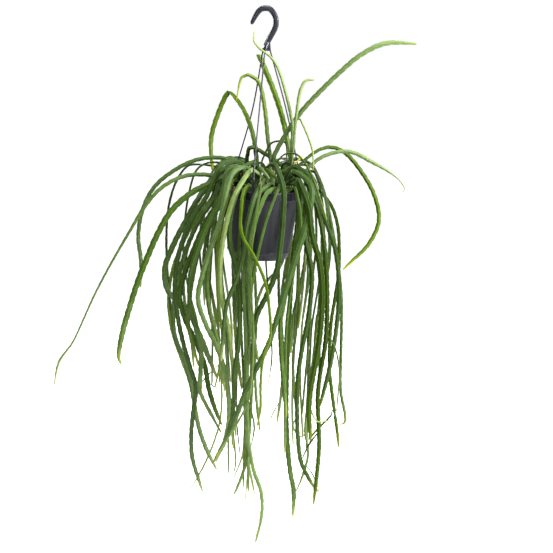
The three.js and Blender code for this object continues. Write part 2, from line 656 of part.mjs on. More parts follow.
// The middle line of a leg, from the hub down to the top of its strap
function legLine({ bearing, bow }) {
  const out = outwards(bearing);
  const top = out.clone().multiplyScalar(HUB_REACH - 1.8).setZ(-HUB_DROP + 2);
  const foot = out.clone().multiplyScalar(RIM_RADIUS + LUG_STAND_OFF - 0.2);
  foot.setZ(STRAP_RISE - 2).applyMatrix4(potFrame);
  const neck = out.clone().multiplyScalar(-3).add(foot);
  neck.z += 18;
  const middle = top.clone().lerp(neck, 0.5).addScaledVector(out, bow);
  return new THREE.CatmullRomCurve3([top, middle, neck, foot], false, "centripetal").getPoints(7);
}

function legBody(leg) {
  const line = legLine(leg);
  const ways = tangents(line);
  const rings = line.map((point, i) => {
    const across = sideways(leg.bearing).projectOnPlane(ways[i]).normalize();
    const deep = new THREE.Vector3().crossVectors(ways[i], across);
    return ringOf(point, across, LEG_RADIUS, deep, LEG_RADIUS, HEXAGON);
  });
  const start = line[0].clone().addScaledVector(ways[0], -0.5);
  const end = line[line.length - 1].clone().addScaledVector(ways[ways.length - 1], 0.5);
  return solid(loft(rings, start, end));
}

// The height of the soil's uneven, slightly mounded top, in the pot's own frame
function soilTop(x, y) {
  const waves = Math.sin(x * 0.31 + 1) * Math.cos(y * 0.27) + 0.6 * Math.sin(x * 0.13 - y * 0.55);
  const mound = SOIL_MOUND * (1 - Math.hypot(x, y) ** 2 / CUTTING_CIRCLE_RADIUS ** 2);
  return -SOIL_DROP + mound + (SOIL_LUMPS / 2) * waves;
}

function soilBody() {
  const sides = 16;
  const floor = POT_HEIGHT - FLOOR_RAISE - POT_WALL - CLEARANCE;
  const ring = (radius, height) => Array.from({ length: sides }, (_, i) => {
    const point = outwards((i / sides) * 2 * Math.PI).multiplyScalar(radius);
    return point.setZ(height ?? soilTop(point.x, point.y));
  });
  // the flats of the pot's inside come nearer to the axis than its corners
  const inside = (drop) => insideRadius(drop) * Math.cos(Math.PI / POT_SIDES) - CLEARANCE;
  const rings = [ring(inside(floor), -floor)];
  for (const radius of [inside(SOIL_DROP + 3), 50, 25]) rings.push(ring(radius));
  return loft(rings, new THREE.Vector3(0, 0, -floor), new THREE.Vector3(0, 0, soilTop(0, 0)));
}

// The point on the line of sight to a place on the hook's upright plane, at a depth behind it
function seen([right, up, away]) {
  const share = (away - EYE.y) / -EYE.y;
  return new THREE.Vector3(mix(EYE.x, right, share), away, mix(EYE.z, up, share));
}

// Where a point shows on the hook's upright plane
function shownAt(point) {
  const share = -EYE.y / (point.y - EYE.y);
  return new THREE.Vector2(mix(EYE.x, point.x, share), mix(EYE.z, point.z, share));
}

function sightTo(point) {
  return point.clone().sub(EYE).normalize();
}

// The way outwards from the plant's middle: level below the rim, and up and out above it
function outwardAt(point) {
  const middle = new THREE.Vector3(POT_PLACE.x, POT_PLACE.y, Math.min(point.z, POT_PLACE.z));
  return point.clone().sub(middle).normalize();
}

function distanceOut(point) {
  return Math.hypot(point.x - POT_PLACE.x, point.y - POT_PLACE.y);
}

// Cuttings, in the pot's own frame: inner ones stand taller, and each leans out. The nearest one to
// each cut top that shows is bent and sized to reach it.
function placeCuttings() {
  const places = Array.from({ length: CUTTINGS }, (_, i) => {
    const share = Math.sqrt((i + 0.5) / CUTTINGS);
    const place = outwards(i * Math.PI * (3 - Math.sqrt(5))).multiplyScalar(CUTTING_CIRCLE_RADIUS * share);
    place.z = soilTop(place.x, place.y);
    const lean = place.clone().setZ(0).setLength(share * between(0.02, 0.2));
    const height = mix(between(14, 34), between(8, 20), share);
    return { place, axis: lean.add(UP).normalize(), height, stems: [] };
  });
  for (const top of SHOWN_CUT_TOPS) {
    const head = seen(top).applyMatrix4(potFrameInverse);
    const offset = (cutting) => Math.hypot(cutting.place.x - head.x, cutting.place.y - head.y);
    const free = places.filter((cutting) => !cutting.shown);
    const nearest = free.reduce((best, cutting) => (offset(cutting) < offset(best) ? cutting : best));
    nearest.shown = true;
    nearest.axis = head.clone().sub(nearest.place).normalize();
    nearest.height = head.distanceTo(nearest.place);
  }
  return places;
}

// A stem that no view of the plant singles out. It arches over the rim at the back, and hangs,
// swinging a little to either side and gathering inwards towards its tip. Only short ones hang
// straight behind the pot.
function plainStem(i) {
  const turn = (i + between(0.1, 0.9)) / PLAIN_STEMS;
  const bearing = Math.PI * (turn < 0.5 ? mix(0.5, 0.9, 2 * turn) : mix(1.06, 1.5, 2 * turn - 1));
  const behind = Math.abs(bearing - Math.PI) < 0.32;
  const reach = 86 + 58 * random() ** 1.4;
  const length = behind ? between(120, 190) : between(240, 590);
  const swing = between(-0.2, 0.2);
  const gather = between(0.7, 0.95);
  const drops = [14, 60, 120, 190, 270, 350, 430, 510].filter((drop) => drop < length - 20);
  const path = [...drops, length].map((drop) => {
    const share = drop / 600;
    const swung = bearing + (swing + 0.16 * Math.sin(bearing * 5)) * share + 0.05 * Math.sin(drop / 55 + i);
    const bulge = 1 + 0.14 * Math.sin(Math.PI * Math.min(drop / 260, 1));
    const out = outwards(swung).multiplyScalar(reach * bulge * mix(1, gather, share));
    return out.add(POT_PLACE).setZ(POT_PLACE.z - drop);
  });
  const tones = ["dark", "green", "green", "pale"];
  const tone = tones[Math.floor(random() * tones.length)];
  return { width: between(6, 10.5), tone, arch: true, path };
}

// A short young stem that stays in the crown: up from the soil, over, and down towards the rim
function crownLeaf(i) {
  const bearing = ((i + between(0.2, 0.8)) / CROWN_LEAVES) * 2 * Math.PI;
  const stations = [[between(14, 26), 14], [between(34, 44), between(26, 44)], [between(54, 64), 30],
    [between(72, 80), between(8, 18)]];
  const path = stations.map(([out, up], station) => {
    const swung = bearing + station * 0.14;
    return outwards(swung).multiplyScalar(out).add(POT_PLACE).setZ(POT_PLACE.z + up);
  });
  return { width: between(8, 11), tone: i % 2 === 0 ? "dark" : "green", path };
}

// The mean distance from the axis just below the rim sorts the stems: those further out spring from
// nearer the middle, and arch higher. A rising stem is sorted last.
function reachOf(path) {
  const near = path.filter((point) => point.z < POT_PLACE.z + 5 && point.z > POT_PLACE.z - 190);
  if (near.length === 0) return 200;
  return near.reduce((sum, point) => sum + distanceOut(point), 0) / near.length;
}

// Each stem takes the cutting nearest to where it would spring from, with room for it.
function cuttingFor(stem) {
  const start = stem.path[0].clone().applyMatrix4(potFrameInverse).setZ(0);
  const share = THREE.MathUtils.clamp((stem.reach - 84) / 60, 0, 1);
  const wanted = stem.arch
    ? start.clone().setLength(mix(CUTTING_CIRCLE_RADIUS - 3, 12, share))
    : start.clone().clampLength(0, CUTTING_CIRCLE_RADIUS - 3);
  const cost = (cutting) => {
    if (cutting.stems.length >= STEMS_A_CUTTING) return Infinity;
    const unlike = cutting.stems.some((sibling) => sibling.tone !== stem.tone) ? 700 : 0;
    const offset = Math.hypot(cutting.place.x - wanted.x, cutting.place.y - wanted.y);
    return offset ** 2 + 110 * cutting.stems.length + unlike;
  };
  return cuttings.reduce((best, cutting) => (cost(cutting) < cost(best) ? cutting : best));
}

// The middle line of a stem: from inside its cutting, out of its edge, and along its path. One that
// starts outside the rim first arches over it.
function middleLine(stem) {
  const { place, axis, height } = stem.cutting;
  const attach = Math.min(height - 4, 6 + 7 * random());
  const root = place.clone().addScaledVector(axis, attach).applyMatrix4(potFrame);
  const target = stem.path[0];
  const way = target.clone().sub(root).setZ(0);
  const out = way.clone().setLength(Math.min(8, way.length() * 0.4));
  const points = [root, out.add(root).addScaledVector(UP, 8)];
  if (stem.arch) {
    const crest = POT_PLACE.z + 9 + 0.62 * (stem.reach - 80) + between(0, 5);
    const along = (share, up) => root.clone().lerp(target, share).setZ(up);
    points.push(along(0.24, mix(root.z, crest, 0.78)));
    points.push(along(0.56, crest));
    points.push(along(0.84, mix(crest, target.z, 0.24)));
  }
  return [...points, ...stem.path];
}

// Points along a curve, closer together where it bends
function steppedAlong(points) {
  const curve = new THREE.CatmullRomCurve3(points, false, "centripetal");
  curve.arcLengthDivisions = 600;
  const fineStep = 2;
  const fine = curve.getSpacedPoints(Math.max(6, Math.round(curve.getLength() / fineStep)));
  const ways = tangents(fine);
  const shortest = Math.min(SHORTEST_STEP, curve.getLength() / 5);
  const steps = [0];
  for (let i = 1; i < fine.length; i++) {
    const from = steps[steps.length - 1];
    const run = (i - from) * fineStep;
    const turned = ways[i].angleTo(ways[from]);
    if (run >= LONGEST_STEP || (run >= shortest && turned > SHARPEST_TURN)) steps.push(i);
  }
  const end = fine.length - 1;
  if ((end - steps[steps.length - 1]) * fineStep < shortest) steps.pop();
  return [...steps, end].map((i) => fine[i]);
}

// The share of a stem's width at a share of its length
function profileAt(profile, share) {
  const step = Math.min(share, 0.999) * (profile.length - 1);
  const at = Math.floor(step);
  return mix(profile[at], profile[at + 1], step - at);
}

// Half widths along a stem: slim where it starts, and tapered to its tip unless that is blunt
function halfWidths(stem) {
  let run = 0;
  const runs = stem.rings.map((point, i) => {
    run += i === 0 ? 0 : point.distanceTo(stem.rings[i - 1]);
    return run;
  });
  const taper = stem.taper ? stem.taper * run : Math.min(5 * stem.width, 0.5 * run);
  return runs.map((at) => {
    const root = THREE.MathUtils.smoothstep(at, 0, Math.min(70, 0.3 * run));
    const tip = stem.blunt ? 1 : Math.sqrt(Math.min((run - at) / taper, 1));
    const own = stem.profile ? profileAt(stem.profile, at / run) : 1;
    return (stem.width / 2) * own * mix(stem.parent ? 0.35 : 0.5, 1, root) * mix(0.3, 1, tip);
  });
}

// The way a stem's width lies at each of its points. It is set where the stem hangs and carried
// along its line, drawn towards lying flat to the viewer, or on other stems flat to the outside,
// and then turned by the stem's own roll and slow twist.
function layWidths(stem) {
  const ways = tangents(stem.rings);
  const facing = stem.rings.map((point) => (stem.traced ? sightTo(point) : outwardAt(point)));
  const flat = facing.map((face, i) => new THREE.Vector3().crossVectors(face, ways[i]));
  const held = Math.floor(stem.rings.length * 0.6);
  const widths = [];
  widths[held] = flat[held].clone().normalize();
  const carry = (from, to) => {
    const width = widths[from].clone().projectOnPlane(ways[to]).normalize();
    const pull = flat[to].dot(width) < 0 ? -0.6 : 0.6;
    return width.addScaledVector(flat[to], pull).projectOnPlane(ways[to]).normalize();
  };
  for (let i = held + 1; i < stem.rings.length; i++) widths[i] = carry(i - 1, i);
  for (let i = held - 1; i >= 0; i--) widths[i] = carry(i + 1, i);
  stem.across = widths.map((width, i) =>
    width.applyAxisAngle(ways[i], stem.roll + stem.twist * (i / stem.rings.length - 0.6)));
  stem.deep = stem.across.map((across, i) => new THREE.Vector3().crossVectors(ways[i], across));
  stem.ways = ways;
}

// A straight stretch with two half sizes, as the bending compares them. Its owner is a cutting.
function stretch(from, to, across, halfAcross, deep, halfDeep, owner) {
  const reach = from.distanceTo(to) / 2 + Math.max(halfAcross, halfDeep);
  const middle = from.clone().lerp(to, 0.5);
  return { from, to, across, halfAcross, deep, halfDeep, owner, reach, middle };
}

function stretchesOf(stem) {
  return stem.rings.slice(1).map((to, i) => {
    const half = Math.max(stem.halves[i], stem.halves[i + 1]) * (1 + NOTCH);
    const across = stem.across[i].clone().add(stem.across[i + 1]).normalize();
    const deep = stem.deep[i].clone().add(stem.deep[i + 1]).normalize();
    const piece = stretch(stem.rings[i], to, across, half, deep, RIB_THICKNESS / 2, stem.cutting);
    return Object.assign(piece, { stem, at: i });
  });
}

// What the stems keep clear of besides each other: the hanger's legs and straps, and the cuttings
function fixedStretches() {
  const legs = LEGS.flatMap((leg) => {
    const line = legLine(leg);
    const side = sideways(leg.bearing);
    const out = outwards(leg.bearing);
    const foot = line[line.length - 1];
    const strapFoot = foot.clone().setZ(foot.z - STRAP_RISE - STRAP_DROP);
    const rods = line.slice(1).map((point, i) =>
      stretch(line[i], point, side, LEG_RADIUS, out, LEG_RADIUS, null));
    return [...rods, stretch(foot, strapFoot, side, 8, out, LUG_STAND_OFF, null)];
  });
  const stubs = cuttings.map((cutting) => {
    const foot = cutting.place.clone().applyMatrix4(potFrame);
    const head = cutting.place.clone().addScaledVector(cutting.axis, cutting.height + CUT_SLANT);
    return stretch(foot, head.applyMatrix4(potFrame), cutting.across, CUTTING_WIDTH / 2,
      cutting.deep, CUTTING_THICKNESS / 2, cutting);
  });
  return [...legs, ...stubs];
}

// The nearest points of two straight stretches: how far along each, and the way between them
function nearest(a, b, c, d) {
  const first = b.clone().sub(a);
  const second = d.clone().sub(c);
  const offset = a.clone().sub(c);
  const aa = first.dot(first);
  const bb = second.dot(second);
  const ab = first.dot(second);
  const ao = first.dot(offset);
  const bo = second.dot(offset);
  const spread = aa * bb - ab * ab;
  let s = spread > 1e-6 ? THREE.MathUtils.clamp((ab * bo - ao * bb) / spread, 0, 1) : 0.5;
  const t = THREE.MathUtils.clamp((ab * s + bo) / bb, 0, 1);
  s = THREE.MathUtils.clamp((ab * t - ao) / aa, 0, 1);
  const gap = second.multiplyScalar(t).add(c).sub(first.multiplyScalar(s).add(a));
  return { s, t, gap };
}

// How far a stretch's edges or ribs stand out from its middle in a direction
function standOut(piece, way) {
  return Math.max(
    piece.halfAcross * Math.abs(piece.across.dot(way)),
    piece.halfDeep * Math.abs(piece.deep.dot(way)),
  );
}

// Moves the two rings at a stretch's ends. A stem's first ring stays in its cutting or parent.
function push(piece, share, way, amount) {
  const hold = [0, 0.35];
  for (const [end, part] of [[piece.at, 1 - share], [piece.at + 1, share]]) {
    piece.stem.shift[end].addScaledVector(way, amount * part * (hold[end] ?? 1));
  }
}

// Keeps a point of a stem outside the pot, clear of the rim and above the soil. A traced stem moves
// along the line of sight where that leads away from the pot.
function clearOfPot(piece, share) {
  const point = piece.from.clone().lerp(piece.to, share);
  const sight = sightTo(point);
  const local = point.applyMatrix4(potFrameInverse);
  const drop = -local.z;
  if (drop > POT_HEIGHT + 4) return;
  const level = new THREE.Vector3(local.x, local.y, 0);
  const radius = level.length();
  level.normalize();
  if (drop > SOIL_DROP + 2) {
    const need = outsideRadius(drop) + standOut(piece, level) + STEM_GAP - radius;
    if (need <= 0) return;
    const along = level.dot(sight);
    const way = piece.stem.traced && Math.abs(along) > 0.4 ? sight.multiplyScalar(Math.sign(along)) : level;
    push(piece, share, way, need / Math.max(way.dot(level), 0.4));
    return;
  }
  const wallMiddle = RIM_RADIUS - 1.5;
  const fromRim = level.clone().multiplyScalar(radius - wallMiddle);
  if (drop < 0) fromRim.z = -drop;
  const away = fromRim.clone().normalize();
  const rimNeed = 2.2 + standOut(piece, away) + STEM_GAP - fromRim.length();
  if (rimNeed > 0) {
    push(piece, share, away, rimNeed);
    if (drop > 0) push(piece, share, UP, rimNeed);
  }
  if (radius < wallMiddle && piece.at > 0) {
    const floor = soilTop(local.x, local.y) + standOut(piece, UP) + STEM_GAP + 1;
    if (local.z < floor) push(piece, share, UP, floor - local.z);
  }
}

// Moves two stretches that meet apart, and tells by how much they were too close. Traced stems part
// along the line of sight and keep their place in the view, others give way to them, and of two
// others the one further out moves outwards.
function moveApart(a, b, s, t, gap) {
  const distance = gap.length();
  const way = distance > 1e-3 ? gap.divideScalar(distance) : outwardAt(a.middle);
  const need = standOut(a, way) + standOut(b, way) + STEM_GAP - distance;
  if (need <= 0) return 0;
  if (a.stem.traced || b.stem.traced) {
    // where they already lie clearly one behind the other they stay so
    const sight = sightTo(a.middle);
    const behind = distance * way.dot(sight);
    const settled = Math.abs(behind) > RIB_THICKNESS / 2;
    const order = Math.sign(settled ? behind : b.stem.depth - a.stem.depth);
    // sight lines that run along the stems can't part them
    const open = sight.projectOnPlane(a.stem.ways[a.at]).length();
    const bend = sight.multiplyScalar(order).addScaledVector(way, 1.6 - open).normalize();
    if (a.stem.traced) push(b, t, bend, (b.stem.traced ? 0.45 : 0.8) * need);
    if (b.stem.traced) push(a, s, bend, (a.stem.traced ? -0.45 : -0.8) * need);
    return need;
  }
  const bend = outwardAt(a.middle).multiplyScalar(1.3).add(way);
  push(a, s, bend.clone().projectOnPlane(a.stem.ways[a.at]).normalize(), -0.3 * need);
  push(b, t, bend.projectOnPlane(b.stem.ways[b.at]).normalize(), 0.6 * need);
  return need;
}

function related(a, b) {
  if (a.stem === b.stem) return true;
  if (a.stem.parent === b.stem) return a.at < 2;
  if (b.stem.parent === a.stem) return b.at < 2;
  return a.owner === b.owner && a.at < 2 && b.at < 2;
}

// Bends the stems clear of each other, the pot, the cuttings and the hanger. It goes on until the
// least gap between two stems is at least half of what they should have.
function bendClear(rounds) {
  const fixed = fixedStretches();
  let worst = Infinity;
  for (let round = 0; round < rounds && (round < MOST_CALM_ROUNDS || worst > STEM_GAP / 2); round++) {
    worst = 0;
    for (const stem of stems) {
      layWidths(stem);
      stem.shift = stem.rings.map(() => new THREE.Vector3());
    }
    const all = stems.flatMap(stretchesOf).sort((a, b) => a.middle.z - b.middle.z);
    for (let i = 0; i < all.length; i++) {
      for (let j = i + 1; j < all.length; j++) {
        const [a, b] = all[i].stem.rank < all[j].stem.rank ? [all[i], all[j]] : [all[j], all[i]];
        if (all[j].middle.z - all[i].middle.z > LONGEST_STEP + 20) break;
        const limit = a.reach + b.reach + STEM_GAP;
        if (a.middle.distanceToSquared(b.middle) > limit * limit || related(a, b)) continue;
        const { s, t, gap } = nearest(a.from, a.to, b.from, b.to);
        worst = Math.max(worst, moveApart(a, b, s, t, gap));
      }
    }
    for (const piece of all) {
      for (const other of fixed) {
        if (other.owner && other.owner === piece.owner && piece.at < 3) continue;
        const { s, gap } = nearest(piece.from, piece.to, other.from, other.to);
        const distance = gap.length();
        if (distance > 20 || distance < 1e-3) continue;
        const way = gap.divideScalar(distance);
        const need = standOut(piece, way) + standOut(other, way) + STEM_GAP - distance;
        if (need > 0) push(piece, s, way, -0.9 * need);
      }
      for (const share of [0, 0.25, 0.5, 0.75]) clearOfPot(piece, share);
    }
    for (const stem of stems) settle(stem, round < MOST_CALM_ROUNDS ? 0.2 : 0.01);
  }
  for (const stem of stems) layWidths(stem);
}

// Takes up a round's moves and evens them out along the stem.
function settle(stem, calm) {
  stem.rings.forEach((point, i) => point.add(stem.shift[i].clampLength(0, 4)));
  const moved = stem.rings.map((point, i) => point.clone().sub(stem.home[i]));
  for (let i = 1; i < stem.rings.length; i++) {
    const next = moved[Math.min(i + 1, moved.length - 1)];
    const even = moved[i - 1].clone().add(next).multiplyScalar(0.5);
    stem.rings[i].addScaledVector(even.sub(moved[i]), calm);
  }
  if (stem.parent) stem.rings[0].copy(stem.parent.rings[stem.parentRing]);
}

const cuttings = placeCuttings();
const traced = [RISING, REACHING, LEFT_CURTAIN, FRONT_CURTAIN, REAR_BUNCH, RIGHT_CURTAIN].flat();
const stems = [
  ...traced.map((stem) => ({ ...stem, traced: true, path: stem.path.map(seen) })),
  ...Array.from({ length: PLAIN_STEMS }, (_, i) => plainStem(i)),
  ...Array.from({ length: CROWN_LEAVES }, (_, i) => crownLeaf(i)),
];
for (const stem of stems) {
  stem.reach = reachOf(stem.path);
  stem.depth = stem.path.reduce((sum, point) => sum + point.y, 0) / stem.path.length;
}
stems.sort((a, b) => b.reach - a.reach);
for (const stem of stems) {
  stem.cutting = cuttingFor(stem);
  stem.cutting.stems.push(stem);
  stem.rings = steppedAlong(middleLine(stem));
}

// A side shoot starts on the traced stem that shows nearest to its first point.
for (const shoot of SHOOTS) {
  const start = new THREE.Vector2(shoot.path[0][0], shoot.path[0][1]);
  let best = { distance: Infinity };
  for (const parent of stems.filter((stem) => stem.traced && !stem.parent)) {
    parent.rings.forEach((point, parentRing) => {
      const distance = shownAt(point).distanceTo(start);
      if (parentRing > 2 && distance < best.distance) best = { distance, parent, parentRing };
    });
  }
  const { parent, parentRing } = best;
  const behind = parent.rings[parentRing].y;
  const path = shoot.path.map(([right, up, away]) => seen([right, up, behind + away]));
  path[0] = parent.rings[parentRing].clone();
  const { cutting, reach, depth } = parent;
  const rings = steppedAlong(path);
  stems.push({ ...shoot, traced: true, path, parent, parentRing, cutting, reach, depth, rings });
  cutting.stems.push(stems[stems.length - 1]);
}

stems.sort((a, b) => a.reach - b.reach);
stems.forEach((stem, rank) => {
  stem.rank = rank;
  const turn = stem.open ? 0.3 : 1;
  stem.roll = turn * (stem.traced ? between(-0.45, 0.45) : between(-1, 1));
  stem.twist = turn * between(-0.9, 0.9);
  stem.halves = halfWidths(stem);
  stem.home = stem.rings.map((point) => point.clone());
});

// A cutting faces along the way its first stem leaves it, so that stems spring from its edges.
for (const cutting of cuttings) {
  const first = cutting.stems[0];
  const way = first ? first.rings[2].clone().sub(first.rings[0]) : sideways(0);
  cutting.across = way.setZ(0).normalize();
  cutting.deep = new THREE.Vector3().crossVectors(UP, cutting.across);
}

bendClear(MOST_ROUNDS);

// A stem's solid: a ribbon of four-cornered rings, with a point at its root and at its tip
function stemBody(stem) {
  const end = stem.rings.length - 1;
  const tipRun = stem.rings[end].distanceTo(stem.rings[end - 1]);
  const rings = stem.rings.slice(0, stem.blunt ? end + 1 : end).map((centre, i) => {
    const half = stem.halves[i];
    const notch = i > 1 && i < end - 1 ? NOTCH * half * (i % 2 === 0 ? 1 : -1) : 0;
    const thick = (RIB_THICKNESS / 2) * Math.min(1, 0.4 + half / 5);
    const middle = centre.clone().addScaledVector(stem.across[i], notch);
    const ring = ringOf(middle, stem.across[i], half, stem.deep[i], thick, RHOMBUS);
    ring[1].addScaledVector(stem.across[i], -notch);
    ring[3].addScaledVector(stem.across[i], -notch);
    return ring;
  });
  const start = stem.rings[0].clone().addScaledVector(stem.ways[0], -0.8);
  const tip = stem.rings[end].clone().addScaledVector(stem.ways[end], stem.blunt ? 2 : 0);
  return solid(loft(rings, start, tip));
}

// A cutting, upright in the soil and leaning above it, up to its slanting cut top
function cuttingBody({ place, axis, across, deep, height }) {
  const foot = place.clone().addScaledVector(UP, -CUTTING_DEPTH);
  const head = place.clone().addScaledVector(axis, height);
  const rings = [foot, place.clone().addScaledVector(UP, 2), head].map((centre) =>
    ringOf(centre, across, CUTTING_WIDTH / 2, deep, CUTTING_THICKNESS / 2, RHOMBUS));
  rings[2][0].addScaledVector(axis, CUT_SLANT);
  rings[2][2].addScaledVector(axis, -CUT_SLANT);
  foot.z -= 0.2;
  head.addScaledVector(axis, 0.2);
  return solid(loft(rings, foot, head)).transform(potFrame.elements);
}

// The plain hole that a cutting stands in
function cuttingHole({ place, across, deep }) {
  const halfAcross = CUTTING_WIDTH / 2 + 2.4 * CLEARANCE;
  const halfDeep = CUTTING_THICKNESS / 2 + 1.2 * CLEARANCE;
  const foot = place.clone().addScaledVector(UP, -CUTTING_DEPTH - CLEARANCE);
  const head = place.clone().addScaledVector(UP, 12);
  const rings = [foot, head].map((centre) => ringOf(centre, across, halfAcross, deep, halfDeep, RHOMBUS));
  return solid(loft(rings, foot.clone().addScaledVector(UP, -0.3), head));
}

const MATERIALS = {
  pot: new THREE.MeshStandardMaterial({ color: 0x34353d, roughness: 0.42, metalness: 0 }),
  hanger: new THREE.MeshStandardMaterial({ color: 0x3a3c44, roughness: 0.4, metalness: 0 }),
  soil: new THREE.MeshStandardMaterial({ color: 0x2b2018, roughness: 0.95, metalness: 0 }),
  dark: new THREE.MeshStandardMaterial({ color: 0x33521f, roughness: 0.5, metalness: 0 }),
  green: new THREE.MeshStandardMaterial({ color: 0x4f7431, roughness: 0.5, metalness: 0 }),
  pale: new THREE.MeshStandardMaterial({ color: 0x7fa463, roughness: 0.5, metalness: 0 }),
  young: new THREE.MeshStandardMaterial({ color: 0x86a832, roughness: 0.5, metalness: 0 }),
};

const planted = cuttings.filter((cutting) => cutting.stems.length > 0);
const plant = new THREE.Group();
const pot = new THREE.Group();
pot.applyMatrix4(potFrame);
plant.add(pot);

pot.add(part("pot", geometryOf(potBody()), MATERIALS.pot));
const holes = joined(planted.map(cuttingHole));
pot.add(part("soil", geometryOf(solid(soilBody()).subtract(holes)), MATERIALS.soil));

const hanger = joined([
  hookBody(),
  ...hubBodies(),
  ...LEGS.map(legBody),
  ...LEGS.map(({ bearing }) => strap(bearing)),
]);
plant.add(part("hanger", geometryOf(hanger), MATERIALS.hanger));

planted.forEach((cutting, i) => {
  const body = withoutPockets(joined([cuttingBody(cutting), ...cutting.stems.map(stemBody)]));
  const name = `cutting_${String(i + 1).padStart(2, "0")}`;
  plant.add(part(name, geometryOf(body), MATERIALS[cutting.stems[0].tone]));
});

export default plant;
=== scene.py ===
"""The looks of a hanging pot of Lepismium bolivianum, a cactus with long flat trailing stems.

Laid out as a Blender add-on and run as a script. The frame holds the plain solids: the pot, the soil,
the hanger, and one solid for each cutting with its stems. This file makes the fine pieces that stand
for them, their materials, and the stage. Sizes are in metres, in the frame's own axes.
"""

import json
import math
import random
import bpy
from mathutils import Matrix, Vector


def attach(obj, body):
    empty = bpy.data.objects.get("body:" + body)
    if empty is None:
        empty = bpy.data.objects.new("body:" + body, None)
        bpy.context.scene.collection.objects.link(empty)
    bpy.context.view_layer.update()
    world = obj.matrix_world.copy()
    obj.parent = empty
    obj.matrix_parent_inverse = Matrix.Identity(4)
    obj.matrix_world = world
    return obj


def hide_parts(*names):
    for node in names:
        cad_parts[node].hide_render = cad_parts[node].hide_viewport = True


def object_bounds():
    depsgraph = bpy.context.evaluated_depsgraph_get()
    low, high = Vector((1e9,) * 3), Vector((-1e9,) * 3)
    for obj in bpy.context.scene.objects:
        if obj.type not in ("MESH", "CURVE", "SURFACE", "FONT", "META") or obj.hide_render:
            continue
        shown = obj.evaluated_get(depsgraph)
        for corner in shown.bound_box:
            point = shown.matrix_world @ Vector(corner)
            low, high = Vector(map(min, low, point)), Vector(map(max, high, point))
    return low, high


bl_info = {
    "name": "Hanging pot of trailing cactus",
    "version": (1, 0, 0),
    "blender": (4, 5, 0),
    "location": "View3D > Sidebar > Hanging pot",
    "description": "Makes the stems, pot, hanger, soil and stage of a hanging pot of trailing cactus",
    "category": "Object",
}

import bmesh
import bpy
from bpy.props import FloatProperty, FloatVectorProperty, IntProperty, PointerProperty
from bpy.types import Operator, Panel, PropertyGroup
from mathutils import Matrix, Vector, noise

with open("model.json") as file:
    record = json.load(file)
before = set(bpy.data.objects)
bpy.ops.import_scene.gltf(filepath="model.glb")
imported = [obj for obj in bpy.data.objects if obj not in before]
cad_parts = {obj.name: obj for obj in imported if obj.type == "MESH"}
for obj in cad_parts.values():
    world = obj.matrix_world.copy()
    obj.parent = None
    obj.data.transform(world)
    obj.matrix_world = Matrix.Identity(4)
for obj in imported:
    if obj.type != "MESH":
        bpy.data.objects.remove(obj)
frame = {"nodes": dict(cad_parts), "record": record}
CAD_BOX = [list(corner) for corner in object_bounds()]
MM = 0.001
UP = Vector((0, 0, 1))
ROOT = "root"

# The pot's rim is centred here and hangs a little out of true, low on the right.
POT_FRAME = Matrix.Translation((-9 * MM, 0, -330 * MM)) @ Matrix.Rotation(math.radians(3), 4, "Y")

# The hanger's legs: their bearings from the viewer's side towards the right, and their bows outwards
LEGS = ((math.radians(-11), 0.0), (math.radians(106), 4 * MM), (math.radians(-136), -9 * MM))

# The record's material slot of each node
SLOT_OF = {row["node"]: row["material_slot"] for row in frame["record"]["subparts"]}


# The sizes and colours that a user would change

def colour(name, words, default):
    return FloatVectorProperty(name=name, description=words, subtype="COLOR", size=4, min=0, max=1,
                               default=(*default, 1))


def length(name, words, default):
    return FloatProperty(name=name, description=words, default=default, min=0, unit="LENGTH",
                         subtype="DISTANCE", precision=5)


def share(name, words, default):
    return FloatProperty(name=name, description=words, default=default, min=0, max=1, subtype="FACTOR")


def power(name, words, default):
    return FloatProperty(name=name, description=words + ", in watts", default=default, min=0)


class StemLook(PropertyGroup):
    """Sizes and colours of the stems"""
    sections: IntProperty(name="Sections a lobe", description="Cross-sections in each lobe", default=8,
                          min=4)
    corners: IntProperty(name="Corners", description="Corners of a stem's cross-section", default=12, min=8)
    lobe: length("Lobe", "Length of a lobe of a stem's edge, from notch to notch", 16 * MM)
    notch: share("Notch", "Depth of the notches, as a share of half the stem's width", 0.18)
    wave: length("Wave", "How far an edge waves out of the stem's plane", 0.35 * MM)
    hair: length("Cushion", "Radius of the pale cushion in each notch", 0.34 * MM)
    seed: IntProperty(name="Seed", description="Seed of the stems' chance values", default=7)
    dark: colour("Old green", "Skin of the old stems", (0.015, 0.036, 0.0035))
    green: colour("Green", "Skin of the grown stems", (0.045, 0.088, 0.014))
    pale: colour("Pale green", "Skin of the paler stems", (0.150, 0.222, 0.074))
    young: colour("Young green", "Skin of the young stems", (0.225, 0.292, 0.092))
    tip: colour("Tip", "The youngest growth at the tips", (0.320, 0.350, 0.070))
    yellow: colour("Yellowed", "Skin of a leaf that has yellowed", (0.700, 0.560, 0.020))
    cut: colour("Cut", "The healed cut tops of the cuttings", (0.700, 0.430, 0.270))
    cushion: colour("Cushion colour", "The woolly cushions in the notches", (0.620, 0.600, 0.460))


class PotLook(PropertyGroup):
    """Sizes and colour of the pot"""
    rim: length("Rim radius", "Outside radius of the rim band", 75 * MM)
    band: length("Band height", "Height of the rim band", 16 * MM)
    shoulder: length("Shoulder radius", "Outside radius just under the rim band", 73.4 * MM)
    foot: length("Foot radius", "Outside radius above the foot ring", 61.4 * MM)
    foot_drop: length("Foot depth", "Depth of the foot ring under the rim", 118 * MM)
    base: length("Base radius", "Radius of the base", 56 * MM)
    height: length("Height", "Height of the pot", 132 * MM)
    wall: length("Wall", "Thickness of the wall", 1.6 * MM)
    floor: length("Floor rise", "How far the floor is raised inside the base", 2.2 * MM)
    skin: colour("Plastic", "The pot's plastic", (0.0052, 0.0060, 0.0098))


